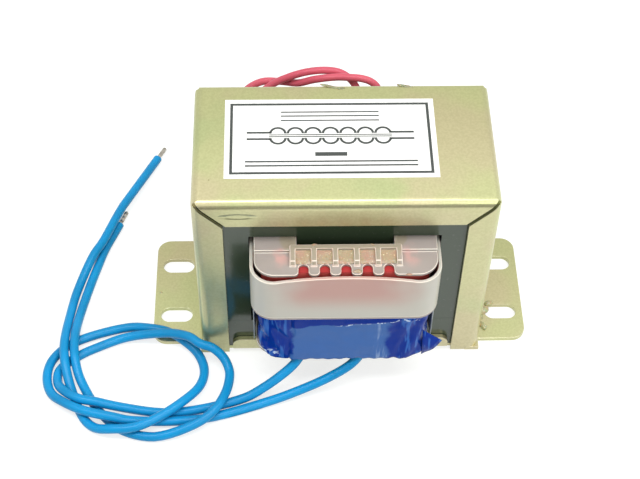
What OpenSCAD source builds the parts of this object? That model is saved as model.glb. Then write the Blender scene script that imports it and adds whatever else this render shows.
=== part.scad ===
// Chassis-mount mains transformer.
// An interleaved stack of E and I core sheets carries a two-section bobbin. A channel
// folded from passivated sheet steel clamps the core on a base plate with slotted feet.
// The origin lies on the mounting surface, under the middle of the core.
// X runs along the feet, Y through the stack and Z up. The front is at -Y.

/* [Core] */
// Width of the centre leg of an E sheet, which sets the whole sheet
leg_w = 28.6; // [24:0.2:34]
// Depth of the stack of sheets
stack_d = 45; // [36:1.5:54]
// Pitch of the sheets in the stack
sheet_pitch = 0.5; // [0.5:0.25:1.5]
// Film of varnish and air between two sheets
sheet_film = 0.02; // [0.01:0.01:0.05]
// Sheets laid the same way before the next ones are turned over
sheets_per_turn = 3; // [1:1:6]
// Butt gap between an E sheet and its I sheet
butt_gap = 0.06; // [0.02:0.02:0.2]

/* [Clamp channel] */
// Thickness of the channel's sheet
channel_t = 1.2; // [0.8:0.1:1.6]
// Outer radius of the channel's folds
fold_r = 3; // [2:0.1:4]
// Play between the core and the channel's side walls
side_play = 0.8; // [0.1:0.05:1.2]
// Play between the core and the channel's front and rear flanges
face_play = 0.45; // [0.1:0.05:0.8]
// Play between the core and the channel's top
top_play = 1.2; // [0.2:0.1:2]
// Width of the flanges beside the coil
side_flange_w = 8.9; // [6:0.1:11]
// Height of the flange above the coil
top_flange_h = 9.9; // [7:0.1:12]
// Lift of the flanges' lower edge above the mounting surface
flange_lift = 0.3; // [0.1:0.1:1]
// Width of the open mitre between two flanges
mitre_w = 1.3; // [0.6:0.1:2]
// Width of the tabs that are staked in the base plate
stake_w = 6; // [4:0.5:9]
// Distance of those tabs from the middle
stake_y = 12; // [8:0.5:14]

/* [Base plate] */
// Thickness of the base plate
base_t = 1.5; // [1:0.1:2]
// Length over both feet
foot_span = 122; // [114:1:134]
// Depth of a foot
foot_d = 41.5; // [36:0.5:44]
// Corner radius of a foot
foot_r = 4.5; // [2:0.5:6]
// Distance between the slots along the feet
slot_span = 107.2; // [105:0.2:109]
// Distance between the slots across a foot
slot_pitch = 20.2; // [14:0.2:24]
// Length of a mounting slot
slot_l = 10.4; // [8:0.2:11]
// Width of a mounting slot
slot_w = 5.6; // [4:0.2:6]
// Length of the turned-up lips in front of and behind the core
lip_l = 69.6; // [50:0.2:70]
// Height of the lips above the mounting surface
lip_h = 7; // [5:0.25:12]
// Corner radius of the lips
lip_r = 2.8; // [1:0.2:4]
// Play of the staked tabs in their slots and of the lips on the core
base_play = 0.1; // [0.05:0.05:0.3]
// Length of the corner ears under the flanges
ear_l = 4.2; // [2.5:0.1:4.8]
// How far the ears stand out past the channel's side walls
ear_reach = 0.3; // [0:0.1:0.5]

/* [Bobbin] */
// Wall of the bobbin's tube beside the windows
tube_side_t = 1.2; // [0.8:0.1:1.6]
// Wall of the bobbin's tube at the front and the rear
tube_end_t = 1.5; // [1:0.1:2]
// Play of the core's centre leg in the tube
tube_play = 0.15; // [0.1:0.05:0.4]
// Space in the tube in front of and behind the stack
tube_space = 3.5; // [1:0.25:5]
// Thickness of the flanges
flange_t = 1.1; // [0.8:0.1:1.6]
// How far the flanges stand out from the ends of the tube
flange_reach = 8.3; // [6:0.1:10]
// Corner radius of the flanges
flange_r = 6; // [3:0.25:7]
// Play of the bobbin's height in the window
window_play = 0.5; // [0.2:0.05:0.8]
// Height of the raised seats beside the tube
seat_h = 1; // [0.5:0.1:1.2]
// Height of the bar and of the ribs of the comb
rib_h = 1.9; // [1:0.1:2.5]
// Thickness of a rib of the comb
rib_t = 1.6; // [1:0.1:2]
// Pitch of the comb's teeth
comb_pitch = 6.25; // [5.6:0.05:6.6]
// Width of a notch in the upper comb
notch_w = 3; // [2.6:0.1:3.4]
// Width of a notch in the lower comb
low_notch_w = 3.4; // [3.2:0.1:3.8]
// Depth of the notches
notch_d = 3.9; // [3:0.1:5]
// Number of notches in a comb
notches = 5; // [3:1:5]
// Radius of the tips of the comb's teeth
tip_r = 1.3; // [0.6:0.1:1.4]
// Share of the window's height that the lower section takes, flange included
lower_share = 0.5; // [0.4:0.02:0.55]

/* [Covers] */
// Wall of the covers round the upper winding
cover_t = 1; // [0.6:0.1:1.2]
// Play between the covers and the core's outer legs
cover_play = 0.3; // [0.2:0.05:0.5]
// Gap between the covers and the edge of the upper flange, in front of the core
cover_gap = 0.7; // [0.3:0.1:1.5]
// Play between the covers and the edge of the upper flange, in the windows
cover_fit = 0.3; // [0.1:0.05:0.5]
// Gap between the front cover and the rear cover
cover_split = 0.6; // [0.2:0.1:2]
// Drop of the covers' rim below the flange's upper face
rim_drop = 1.9; // [0.5:0.1:3]
// Rise of the rim's crown in the middle
crown_h = 2.2; // [0:0.1:3]

/* [Windings] */
// Depth of the upper winding between the tube and its tape, in front of the core
upper_build = 6.2; // [4:0.1:7]
// Depth of the upper winding beside the tube, in a window
upper_side_build = 9.2; // [6:0.1:10]
// Depth of the lower winding beside the tube, in a window
lower_side_build = 10.1; // [6:0.1:10.4]
// Distance of the lower winding from the edge of its flange, in front of the core
lower_inset = 0.1; // [0.05:0.05:1]
// Thickness of the tape on the upper winding
upper_tape_t = 0.4; // [0.2:0.05:0.8]
// Thickness of the tape on the lower winding
lower_tape_t = 0.8; // [0.4:0.05:1]
// Play above and below the windings
wind_play = 0.15; // [0.1:0.05:0.3]
// How far the lower tape hangs below the lower flange
tape_drop = 1.8; // [0.5:0.1:3]
// Thickness of the side films
film_t = 0.3; // [0.1:0.05:0.4]
// Gap between the lower tape and the side films
film_gap = 0.3; // [0.1:0.05:0.4]
// How far the films' ends are bent away from the coil
film_flare = 0.6; // [0.2:0.1:0.8]

/* [Label] */
// Length of the label
label_l = 62.8; // [40:0.2:70]
// Width of the label
label_w = 31.2; // [20:0.2:36]
// Thickness of the label
label_t = 0.15; // [0.05:0.05:0.3]

/* [Leads] */
// Outer diameter of the secondary leads
blue_d = 3; // [2.4:0.1:3]
// Outer diameter of the primary leads
red_d = 2.4; // [2:0.1:2.4]
// Diameter of the tinned ends as a share of the lead's diameter
core_share = 0.5; // [0.4:0.05:0.6]
// Length of the tinned ends
tip_l = 6; // [4:0.5:10]
// Thickness of the tie round the coiled leads
tie_t = 0.3; // [0.2:0.1:0.5]
// Width of the tie
tie_w = 3; // [2:0.5:5]
// Play beside the tails where they leave the coil's turns
tail_play = 0.1; // [0.05:0.05:0.2]

/* [Hidden] */
$fn = 48;
// Overlap of cutting tools past the face that they cut
cut = 1;

// Core: every size of the sheets follows the centre leg
window_w = leg_w / 2;
window_h = 1.5 * leg_w;
yoke_h = leg_w / 2;
core_w = leg_w + 4 * window_w;
core_h = window_h + 2 * yoke_h;
core_z = base_t;
window_z = core_z + yoke_h;
window_out = leg_w / 2 + window_w;
sheet_t = sheet_pitch - sheet_film;
sheet_count = floor(stack_d / sheet_pitch);
core_d = sheet_count * sheet_pitch;

// Clamp channel
channel_w = core_w + 2 * (side_play + channel_t);
channel_d = core_d + 2 * (face_play + channel_t);
channel_h = core_z + core_h + top_play + channel_t;
opening_w = channel_w - 2 * side_flange_w;
opening_h = channel_h - top_flange_h;
ear_x = channel_w / 2 - ear_l;
ear_w = ear_l + ear_reach;
stake_x = channel_w / 2 - channel_t / 2;

// Base plate
lip_d = core_d + 2 * (base_play + base_t);

// Bobbin
tube_in_w = leg_w + 2 * tube_play;
tube_in_d = core_d + 2 * tube_space;
tube_w = tube_in_w + 2 * tube_side_t;
tube_d = tube_in_d + 2 * tube_end_t;
bobbin_z = window_z + window_play / 2;
bobbin_top = window_z + window_h - window_play / 2;
flange_top = bobbin_top - seat_h;
seat_foot_h = seat_h + flange_t / 2;
flange_w = 2 * (window_out - cover_play - cover_t - cover_fit);
flange_d = tube_d + 2 * flange_reach;
partition_z = bobbin_z + lower_share * (bobbin_top - bobbin_z);
partition_top = partition_z + flange_t;
comb_w = notches * comb_pitch;
notch_y = flange_d / 2 - notch_d;

// Covers
cover_w = 2 * (window_out - cover_play);
cover_d = flange_d + 2 * (cover_gap + cover_t);
cover_r = flange_r + cover_t;
rim_z = flange_top - rim_drop;
crown_w = flange_w - 2 * flange_r;
crown_r = (crown_w * crown_w / 4 + crown_h * crown_h) / (2 * max(crown_h, 0.01));

// Windings, from the tube outwards
upper_w = tube_w + 2 * upper_side_build;
upper_d = tube_d + 2 * upper_build;
upper_r = flange_r - 1;
upper_bottom = partition_top + wind_play;
upper_top = flange_top - flange_t - wind_play;
lower_w = tube_w + 2 * lower_side_build;
lower_d = flange_d - 2 * lower_inset;
lower_r = flange_r - 1;
lower_tape_w = lower_w + 2 * lower_tape_t;
lower_tape_d = lower_d + 2 * lower_tape_t;
lower_top = partition_z - wind_play;
lower_bottom = bobbin_z + flange_t + wind_play;

// Places of the leads' notches, counted from the middle of a comb
blue_long_x = comb_pitch;
blue_short_x = -2 * comb_pitch;
red_near_x = 2 * comb_pitch;
red_far_x = comb_pitch;

// Side films
film_x = lower_tape_w / 2 + film_gap;
film_d = lower_tape_d - 2 * flange_r;

// Label, on the channel's top
label_x = -4;
label_y = 1.3;

// Routes of the leads: points on the middle of each lead, as they lie on the mounting surface
blue_r = blue_d / 2;
red_r = red_d / 2;
blue_long_route = [
    [blue_long_x, -33.6, lower_bottom], [blue_long_x, -33.6, 16], [5.7, -34, 13.2],
    [2.6, -35.8, 9.8], [-4.5, -38.6, 6.6], [-13, -41, 3.6], [-23, -44, 1.8], [-44, -50, 1.5],
    [-66, -51.2, 2.9], [-72, -51, 5], [-81, -48.4, 4.7], [-87.5, -44.8, 3.8], [-92.2, -40.3, 2.1],
    [-94.1, -34.3, 1.5], [-93.4, -28.5, 1.5], [-90, -23.5, 1.5], [-84, -19.5, 1.5],
    [-69, -15.2, 1.8], [-61.5, -16.6, 3.2], [-56, -18, 3.1], [-50.5, -21.8, 3.1],
    [-46, -26.4, 2.3], [-44, -32, 1.8], [-45.2, -39, 3.2], [-51, -46.3, 4.9], [-58.7, -52, 5.1],
    [-65, -54.7, 4.8], [-71.5, -54.9, 4.3], [-77.5, -53, 1.9], [-81.2, -49.5, 1.5],
    [-85.3, -40.5, 1.6], [-87.3, -34.8, 3.2], [-88.5, -29.6, 4.8], [-89.2, -22.9, 4.6],
    [-88.5, -9, 1.9], [-87, 0.5, 1.5], [-82.5, 12.8, 4.2], [-79.7, 18.2, 4.6], [-73.7, 34.3, 4.4],
    [-63, 58.5, 1.5]
];
blue_short_route = [
    [blue_short_x, -33.6, lower_bottom], [blue_short_x, -33.6, 16], [-13.1, -34.1, 13.2],
    [-15.4, -35.7, 10], [-19.7, -38.2, 7.2], [-25.4, -40.9, 4.3], [-31, -43, 2.2],
    [-47, -46.9, 1.5], [-57, -47.6, 1.5], [-71, -45.9, 2.8], [-77.5, -45.3, 4.8],
    [-83, -44, 4.8], [-87.6, -40.9, 4.2], [-90.4, -36.4, 2], [-90.3, -31.4, 1.5],
    [-84.5, -25.9, 1.5], [-78.5, -22.6, 1.5], [-70.5, -19.4, 1.8], [-62.3, -19.4, 4],
    [-54, -20.8, 6.3], [-48.6, -23.2, 7.6], [-45.2, -25.9, 7.8], [-41.2, -27.2, 7.2],
    [-37.6, -30, 5.4], [-35.8, -34.2, 4], [-36, -38.5, 4.1], [-37, -42.8, 4.8],
    [-39.8, -48.2, 4.9], [-45, -52.6, 4], [-59, -56.3, 1.5], [-69.3, -53.6, 1.5],
    [-77, -46.3, 1.5], [-81.8, -38.4, 1.7], [-84, -33.8, 2.9], [-85.5, -27.8, 4.7],
    [-86, -20.8, 4.7], [-85.2, -9, 1.9], [-80.3, 13, 1.5], [-78.5, 19, 1.5], [-74.8, 28.3, 1.5]
];
// The primary leads rise over the rear cover and run down to a flat coil behind the core
coil_x = -16;
coil_y = 58;
coil_turns = 2;
coil_out = 6.2 * red_d;
coil_in = coil_out - coil_turns * red_d;
coil_entry = 8.6;
red_near_z = tie_t + 1.5 * red_d;
red_far_z = tie_t + 0.5 * red_d;
red_near_route = [
    [red_near_x, 34.2, upper_top], [red_near_x, 34.2, 57.6], [12.7, 34.3, 59.6], [12, 34.6, 62.4],
    [9.8, 35.1, 64.5], [6.8, 35.5, 65.4], [3, 35.7, 65.7], [-1, 36, 65.6], [-8, 37.1, 63.4],
    [-13, 38.7, 60.3], [-18.5, 41.6, 58], [-24.5, 43.2, 56.4], [-29.6, 43.4, 52.6],
    [-32.6, 43.2, 46.5], [-33.7, 42.8, 38], [-33.8, 42.4, 26], [-33.4, 42.1, 16],
    [-33.1, 42, 10.4], [-32.8, 42.9, 7.1], [-32.1, 45, 4.8],
    [coil_x - coil_out, coil_y - coil_entry - 1, red_near_z],
    [coil_x - coil_out, coil_y - coil_entry, red_near_z]
];
red_far_route = [
    [red_far_x, 34.2, upper_top], [red_far_x, 34.2, 57.4], [6.1, 34.5, 59.4], [5.3, 35.6, 61.7],
    [3.4, 37.3, 63.5], [0.4, 38.8, 64.7], [-4, 39.3, 65.3], [-10, 39.4, 64.6], [-16, 39.5, 62.2],
    [-21.5, 39.8, 58.4], [-25.6, 40.2, 53], [-28, 40.4, 45], [-29.6, 40.9, 30],
    [-30.1, 41.4, 15], [-30.3, 41.6, 8.2], [-30.4, 42.4, 5], [-30.5, 44.6, 2.4],
    [coil_x - coil_out, coil_y - coil_entry - 1, red_far_z],
    [coil_x - coil_out, coil_y - coil_entry, red_far_z]
];
// Loose tails, from their seats in the coil's turns to where each ends
tail_x = 9.8;
tail_y = 4;
tail_end = 1;
tail_far = [
    [coil_x - tail_x, coil_y + tail_y, red_far_z], [coil_x - tail_end, coil_y + tail_y, red_far_z]
];
tail_near = [
    [coil_x + tail_x, coil_y - tail_y, red_far_z], [coil_x + tail_end, coil_y - tail_y, red_far_z]
];

// Smooth line through points: the speed at each point follows from its neighbours, and the
// first and the last stretch are straight
function spacing(a, b) = sqrt(norm(b - a));
function inner_speed(a, b, c) =
    let (u = spacing(a, b), v = spacing(b, c))
    (b - a) / u - (c - a) / (u + v) + (c - b) / v;
function speed(p, i) =
    i == 0 ? (p[1] - p[0]) / spacing(p[0], p[1])
    : i == len(p) - 1 ? (p[i] - p[i - 1]) / spacing(p[i - 1], p[i])
    : inner_speed(p[i - 1], p[i], p[i + 1]);
function between(p, i, s) =
    let (h = spacing(p[i], p[i + 1]))
    i == 0 || i == len(p) - 2 ? p[i] + s * (p[i + 1] - p[i]) :
    (2 * pow(s, 3) - 3 * pow(s, 2) + 1) * p[i]
    + (pow(s, 3) - 2 * pow(s, 2) + s) * h * speed(p, i)
    + (3 * pow(s, 2) - 2 * pow(s, 3)) * p[i + 1]
    + (pow(s, 3) - pow(s, 2)) * h * speed(p, i + 1);
// No lead dips below the mounting surface between two points
function lifted(q, lowest) = [q.x, q.y, max(q.z, lowest)];
function smooth_line(p, lowest) = concat(
    [for (i = [0 : len(p) - 2], k = [0, 1]) lifted(between(p, i, k / 2), lowest)],
    [p[len(p) - 1]]
);

// Rings round a line, each square to it and turned as little as possible from the last
function unit(v) = v / norm(v);
function heading(line, i) =
    unit(line[min(i + 1, len(line) - 1)] - line[max(i - 1, 0)]);
function square_to(n, t) = unit(n - (n * t) * t);
function normals(line, i, last) =
    i == len(line) ? []
    : let (n = square_to(last, heading(line, i))) concat([n], normals(line, i + 1, n));
function rings(line, r, sides) =
    let (ns = normals(line, 0, [0.3, 1, 0.2]))
    [for (i = [0 : len(line) - 1], k = [0 : sides - 1])
        let (a = 360 * k / sides, b = cross(heading(line, i), ns[i]))
        line[i] + r * (cos(a) * ns[i] + sin(a) * b)];

lead_sides = 8;

module tube(line, d) {
    count = len(line);
    last = (count - 1) * lead_sides;
    polyhedron(
        points = rings(line, d / 2, lead_sides),
        faces = concat(
            [[for (k = [0 : lead_sides - 1]) k]],
            [for (i = [0 : count - 2], k = [0 : lead_sides - 1])
                let (a = i * lead_sides + k, b = i * lead_sides + (k + 1) % lead_sides)
                [a, a + lead_sides, b + lead_sides, b]],
            [[for (k = [lead_sides - 1 : -1 : 0]) last + k]]
        )
    );
}

// Round bar from one point towards another, of a given length
module rod(from, to, l, d) {
    v = unit(to - from);
    translate(from) rotate([0, acos(v.z), atan2(v.y, v.x)]) cylinder(d = d, h = l);
}

// Tinned end that goes on from the last two points of a lead
module tinned_end(points, d) {
    last = len(points) - 1;
    rod(points[last], 2 * points[last] - points[last - 1], tip_l, d * core_share);
}

// Rectangle with round corners
module rounded(w, d, r) {
    square([w - 2 * r, d], center = true);
    square([w, d - 2 * r], center = true);
    for (x = [-1, 1], y = [-1, 1])
        translate([x * (w / 2 - r), y * (d / 2 - r)]) circle(r);
}

// Upright outline that stands on the X axis, with round upper corners
module arch(w, h, r) {
    translate([-w / 2, 0]) square([w, h - r]);
    translate([r - w / 2, 0]) square([w - 2 * r, h]);
    for (x = [-1, 1]) translate([x * (w / 2 - r), h - r]) circle(r);
}

// Extrusions that stand an outline up, facing front or side
module face_front(depth) {
    rotate([90, 0, 0]) linear_extrude(depth, center = true) children();
}
module face_side(width) {
    rotate([90, 0, 90]) linear_extrude(width, center = true) children();
}

// Winding round the bobbin's tube
module winding(w, d, r, bottom, top) {
    translate([0, 0, bottom]) linear_extrude(top - bottom) difference() {
        rounded(w, d, r);
        square([tube_w, tube_d], center = true);
    }
}

// Tape of thickness t round a winding
module tape(w, d, r, t, bottom, top) {
    translate([0, 0, bottom]) linear_extrude(top - bottom) difference() {
        rounded(w + 2 * t, d + 2 * t, r + t);
        rounded(w, d, r);
    }
}

// Block with round upper edges and round upright edges, as a folded sheet leaves
module folded_block(w, d, h, r) {
    intersection() {
        face_front(d) arch(w, h, r);
        face_side(w) arch(d, h, r);
        linear_extrude(h) rounded(w, d, r);
    }
}

// The mitre runs from the outer corner of the channel to the corner of its opening
mitre_l = norm([side_flange_w, top_flange_h]) + cut;
mitre_angle = atan2(top_flange_h, side_flange_w);

module mitre() {
    for (x = [-1, 1], y = [-1, 1])
        translate([x * channel_w / 2, y * channel_d / 2, channel_h])
            rotate([0, -x * mitre_angle, 0])
                translate([-x * (mitre_l - cut) / 2, 0, 0])
                    cube([mitre_l + cut, 3 * channel_t, mitre_w], center = true);
}

module clamp_channel() color("darkkhaki") {
    difference() {
        folded_block(channel_w, channel_d, channel_h, fold_r);
        translate([0, 0, -cut])
            folded_block(channel_w - 2 * channel_t, channel_d - 2 * channel_t,
                         channel_h - channel_t + cut, fold_r - channel_t);
        translate([-opening_w / 2, -channel_d, -cut])
            cube([opening_w, 2 * channel_d, opening_h + cut]);
        translate([-ear_x, -channel_d, -cut])
            cube([2 * ear_x, 2 * channel_d, flange_lift + cut]);
        for (x = [-1, 1])
            translate([x * (ear_x + ear_w), 0, base_t / 2])
                cube([2 * ear_w, channel_d + cut, base_t], center = true);
        mitre();
    }
    for (x = [-1, 1], y = [-1, 1])
        translate([x * stake_x, y * stake_y, (core_z + base_play) / 2 + cut])
            cube([channel_t, stake_w, core_z - base_play + 2 * cut], center = true);
}

module slot(x, y, l, w) {
    translate([x, y, base_t / 2]) {
        cube([l - w, w, base_t + 2 * cut], center = true);
        for (side = [-1, 1])
            translate([side * (l - w) / 2, 0, 0])
                cylinder(d = w, h = base_t + 2 * cut, center = true);
    }
}

module base_plate() color("darkkhaki") difference() {
    union() {
        linear_extrude(base_t) rounded(foot_span, foot_d, foot_r);
        linear_extrude(base_t) square([core_w, core_d], center = true);
        for (x = [-1, 1])
            translate([x * (ear_x + ear_w / 2), 0, base_t / 2])
                cube([ear_w, channel_d, base_t], center = true);
        intersection() {
            face_side(lip_l) difference() {
                translate([0, lip_h + cut]) mirror([0, 1]) arch(lip_d, lip_h + cut, fold_r);
                translate([0, base_t + lip_h])
                    square([lip_d - 2 * base_t, 2 * lip_h], center = true);
            }
            face_front(lip_d) arch(lip_l, lip_h, lip_r);
        }
    }
    for (x = [-1, 1], y = [-1, 1]) {
        slot(x * slot_span / 2, y * slot_pitch / 2, slot_l, slot_w);
        translate([x * stake_x, y * stake_y, base_t / 2])
            cube([channel_t + 2 * base_play, stake_w + 2 * base_play, base_t + 2 * cut],
                 center = true);
    }
}

// E and I outlines of one layer; the yoke of the E lies at the top when up is true
module e_outline(up) {
    translate([0, core_z + (up ? core_h - yoke_h : yoke_h)]) difference() {
        translate([-core_w / 2, up ? -window_h : -yoke_h]) square([core_w, window_h + yoke_h]);
        for (x = [-1, 1])
            translate([x * (leg_w + window_w) / 2, up ? -window_h / 2 : window_h / 2])
                square([window_w, window_h], center = true);
    }
}
module i_outline(up) {
    translate([-core_w / 2, core_z + (up ? 0 : core_h - yoke_h + butt_gap)])
        square([core_w, yoke_h - butt_gap]);
}

// Sheets from first to last, counted from the front; every few the stack is turned over
module sheets(first, last, i_part) {
    for (k = [first : last]) {
        up = floor(k / sheets_per_turn) % 2 == 0;
        translate([0, (k + 0.5) * sheet_pitch - core_d / 2, 0]) face_front(sheet_t) {
            if (i_part) {
                i_outline(up);
            } else {
                e_outline(up);
            }
        }
    }
}

module front_e_sheet() color("dimgray") sheets(0, 0, false);
module front_i_sheet() color("dimgray") sheets(0, 0, true);
module e_sheets() color("dimgray") sheets(1, sheet_count - 2, false);
module i_sheets() color("dimgray") sheets(1, sheet_count - 2, true);
module rear_e_sheet() color("dimgray") sheets(sheet_count - 1, sheet_count - 1, false);
module rear_i_sheet() color("dimgray") sheets(sheet_count - 1, sheet_count - 1, true);

// One notch of a comb: round at its inner end, flared at its mouth, opening towards -Y
module notch(w) {
    translate([0, -w / 2]) circle(d = w);
    translate([-w / 2, -notch_d - cut]) square([w, notch_d + cut - w / 2]);
    for (x = [-1, 1]) translate([x * (w / 2 + tip_r), tip_r - notch_d]) difference() {
        translate([-x * tip_r / 2, -(tip_r + cut) / 2]) square([tip_r, tip_r + cut], center = true);
        circle(tip_r);
    }
}

// Flange with a comb at the front and at the rear, and the hole of the tube
module comb_flange(w) {
    difference() {
        rounded(flange_w, flange_d, flange_r);
        square([tube_in_w, tube_in_d], center = true);
        for (k = [0 : notches - 1], side = [0, 180])
            rotate(side) translate([(k + 0.5) * comb_pitch - comb_w / 2, -notch_y]) notch(w);
    }
}

// Sloping rib of a comb, drawn in the plane through the leads
module rib() {
    start = tube_d / 2 - tube_end_t;
    end = notch_y + rib_t / 2;
    face_side(rib_t) polygon([
        [-start, -flange_t / 2], [-end, -flange_t / 2], [-end, rib_h / 4],
        [-end + rib_h / 2, 4 / 5 * rib_h], [-start - tube_end_t, rib_h], [-start, rib_h]
    ]);
}

// Bar and ribs on the upper flange, which keep the leads apart
module comb_ribs() {
    for (side = [0, 180]) rotate(side) {
        translate([-(comb_w + rib_t) / 2, -tube_d / 2, -flange_t / 2])
            cube([comb_w + rib_t, tube_end_t, rib_h + flange_t / 2]);
        for (k = [0 : notches]) translate([k * comb_pitch - comb_w / 2, 0, 0]) rib();
    }
}

module bobbin() color("gainsboro") {
    translate([0, 0, bobbin_z]) linear_extrude(flange_top - bobbin_z) difference() {
        square([tube_w, tube_d], center = true);
        square([tube_in_w, tube_in_d], center = true);
    }
    translate([0, 0, bobbin_z]) linear_extrude(flange_t) comb_flange(low_notch_w);
    translate([0, 0, partition_z]) linear_extrude(flange_t) difference() {
        rounded(cover_w, cover_d, cover_r);
        square([tube_in_w, tube_in_d], center = true);
    }
    translate([0, 0, flange_top - flange_t]) linear_extrude(flange_t) comb_flange(notch_w);
    for (x = [-1, 1])
        translate([x * (flange_w + tube_in_w) / 4, 0, bobbin_top - seat_foot_h / 2])
            cube([(flange_w - tube_in_w) / 2, tube_d, seat_foot_h], center = true);
    translate([0, 0, flange_top]) comb_ribs();
}

// Adhesive in the pockets between the ribs
module comb_adhesive() color("burlywood") {
    pocket = comb_pitch - rib_t;
    for (side = [0, 180], k = [0 : notches - 1])
        rotate(side) translate([(k + 0.5) * comb_pitch - comb_w / 2, 0, flange_top])
            face_side(pocket) polygon([
                [-tube_d / 2, 0], [-notch_y, 0], [-notch_y, seat_h / 4],
                [-notch_y + seat_h, seat_h / 2], [-tube_d / 2, seat_h]
            ]);
}

// Outline of a cover's rim seen from the front: level at the sides, crowned in the middle
module cover_face() {
    translate([-cover_w, partition_top]) square([2 * cover_w, rim_z - partition_top]);
    intersection() {
        translate([0, rim_z + crown_h - crown_r]) circle(crown_r, $fn = 180);
        translate([-crown_w / 2, rim_z - cut]) square([crown_w, crown_h + cut]);
    }
}

module cover(side) {
    rotate(side) intersection() {
        translate([0, 0, partition_top]) linear_extrude(bobbin_top - partition_top) difference() {
            rounded(cover_w, cover_d, cover_r);
            rounded(cover_w - 2 * cover_t, cover_d - 2 * cover_t, cover_r - cover_t);
            translate([-cover_w, -cover_split / 2]) square([2 * cover_w, cover_d]);
        }
        face_front(cover_d) cover_face();
    }
}
module front_cover() color("linen") cover(0);
module rear_cover() color("linen") cover(180);

module primary_winding() color("peru")
    winding(upper_w, upper_d, upper_r, upper_bottom, upper_top);

module primary_tape() color("firebrick")
    tape(upper_w, upper_d, upper_r, upper_tape_t, upper_bottom, upper_top);

module secondary_winding() color("peru")
    winding(lower_w, lower_d, lower_r, lower_bottom, lower_top);

// The lower tape hangs over the edge of its flange in front of the core and behind it
module secondary_tape() color("mediumblue") {
    skirt_w = lower_w - 2 * lower_r;
    skirt_t = lower_tape_t - 2 * lower_inset;
    tape(lower_w, lower_d, lower_r, lower_tape_t, lower_bottom, lower_top);
    for (side = [0, 180]) rotate(side)
        translate([-skirt_w / 2, -lower_tape_d / 2, bobbin_z - tape_drop])
            cube([skirt_w, skirt_t, lower_bottom - bobbin_z + tape_drop + cut]);
}

module side_films() color("whitesmoke")
    for (side = [0, 180]) rotate(side)
        translate([0, 0, lower_bottom]) linear_extrude(lower_top - lower_bottom) polygon([
            [film_x, -core_d / 2], [film_x + film_flare, -film_d / 2],
            [film_x + film_flare + film_t, -film_d / 2], [film_x + film_t, -core_d / 2],
            [film_x + film_t, core_d / 2], [film_x + film_flare + film_t, film_d / 2],
            [film_x + film_flare, film_d / 2], [film_x, core_d / 2]
        ]);

module label() color("white")
    translate([label_x, label_y, channel_h + label_t / 2])
        cube([label_l, label_w, label_t], center = true);

module blue_lead_long() color("dodgerblue") tube(smooth_line(blue_long_route, blue_r), blue_d);
module blue_lead_short() color("dodgerblue") tube(smooth_line(blue_short_route, blue_r), blue_d);
module blue_lead_ends() color("silver") {
    tinned_end(smooth_line(blue_long_route, blue_r), blue_d);
    tinned_end(smooth_line(blue_short_route, blue_r), blue_d);
}

module red_lead_near() color("lightcoral") tube(smooth_line(red_near_route, red_r), red_d);
module red_lead_far() color("lightcoral") tube(smooth_line(red_far_route, red_r), red_d);

// Block round one side of the coil, for the outer and the inner shape of the tie
module tie_block(grow, l) {
    translate([coil_x + (coil_out + coil_in) / 2, coil_y, tie_t + red_d])
        cube([coil_out - coil_in + red_d + 2 * grow, l, 2 * (red_d + grow)], center = true);
}

module coil_tie() color("white") difference() {
    tie_block(tie_t, tie_w);
    tie_block(0, tie_w + cut);
}

// Outer shape of the two primary leads' turns, with the stretch on which they run in
module red_lead_coil() color("lightcoral") difference() {
    translate([0, 0, tie_t]) linear_extrude(2 * red_d) {
        translate([coil_x, coil_y]) difference() {
            circle(coil_out + red_r);
            circle(coil_in - red_r);
            for (side = [0, 180]) rotate(side)
                translate([-tail_x, tail_y - red_r - tail_play])
                    square([tail_x, red_d + 2 * tail_play]);
        }
        translate([coil_x - coil_out - red_r, coil_y - coil_entry]) square([red_d, coil_entry]);
    }
    coil_tie();
}

module red_lead_tails() color("lightcoral") {
    for (t = [tail_far, tail_near]) rod(t[0], t[1], norm(t[1] - t[0]), red_d);
}
module red_lead_ends() color("silver") {
    for (t = [tail_far, tail_near]) tinned_end(t, red_d);
}

base_plate();
clamp_channel();
front_e_sheet();
front_i_sheet();
e_sheets();
i_sheets();
rear_e_sheet();
rear_i_sheet();
bobbin();
front_cover();
rear_cover();
comb_adhesive();
primary_winding();
primary_tape();
secondary_winding();
secondary_tape();
side_films();
label();
blue_lead_long();
blue_lead_short();
blue_lead_ends();
red_lead_near();
red_lead_far();
red_lead_coil();
red_lead_tails();
red_lead_ends();
coil_tie();
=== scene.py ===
"""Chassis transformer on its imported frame: finishes, leads, tape and small resin marks.

Everything is in metres in the frame of the construction model: X runs along the feet, Y
through the stack of core sheets, Z is up and the front is at -Y. Sizes are written in
millimetres and multiplied by MM. Each sub-assembly is a class that builds its pieces and
dresses them, and each finish is a small frozen dataclass.
"""

from __future__ import annotations

import logging
import math
from collections.abc import Callable, Mapping, Sequence
from dataclasses import dataclass
from enum import Enum
from functools import cached_property
from typing import Any

import bmesh
import bpy
from mathutils import Matrix, Vector, noise


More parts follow.
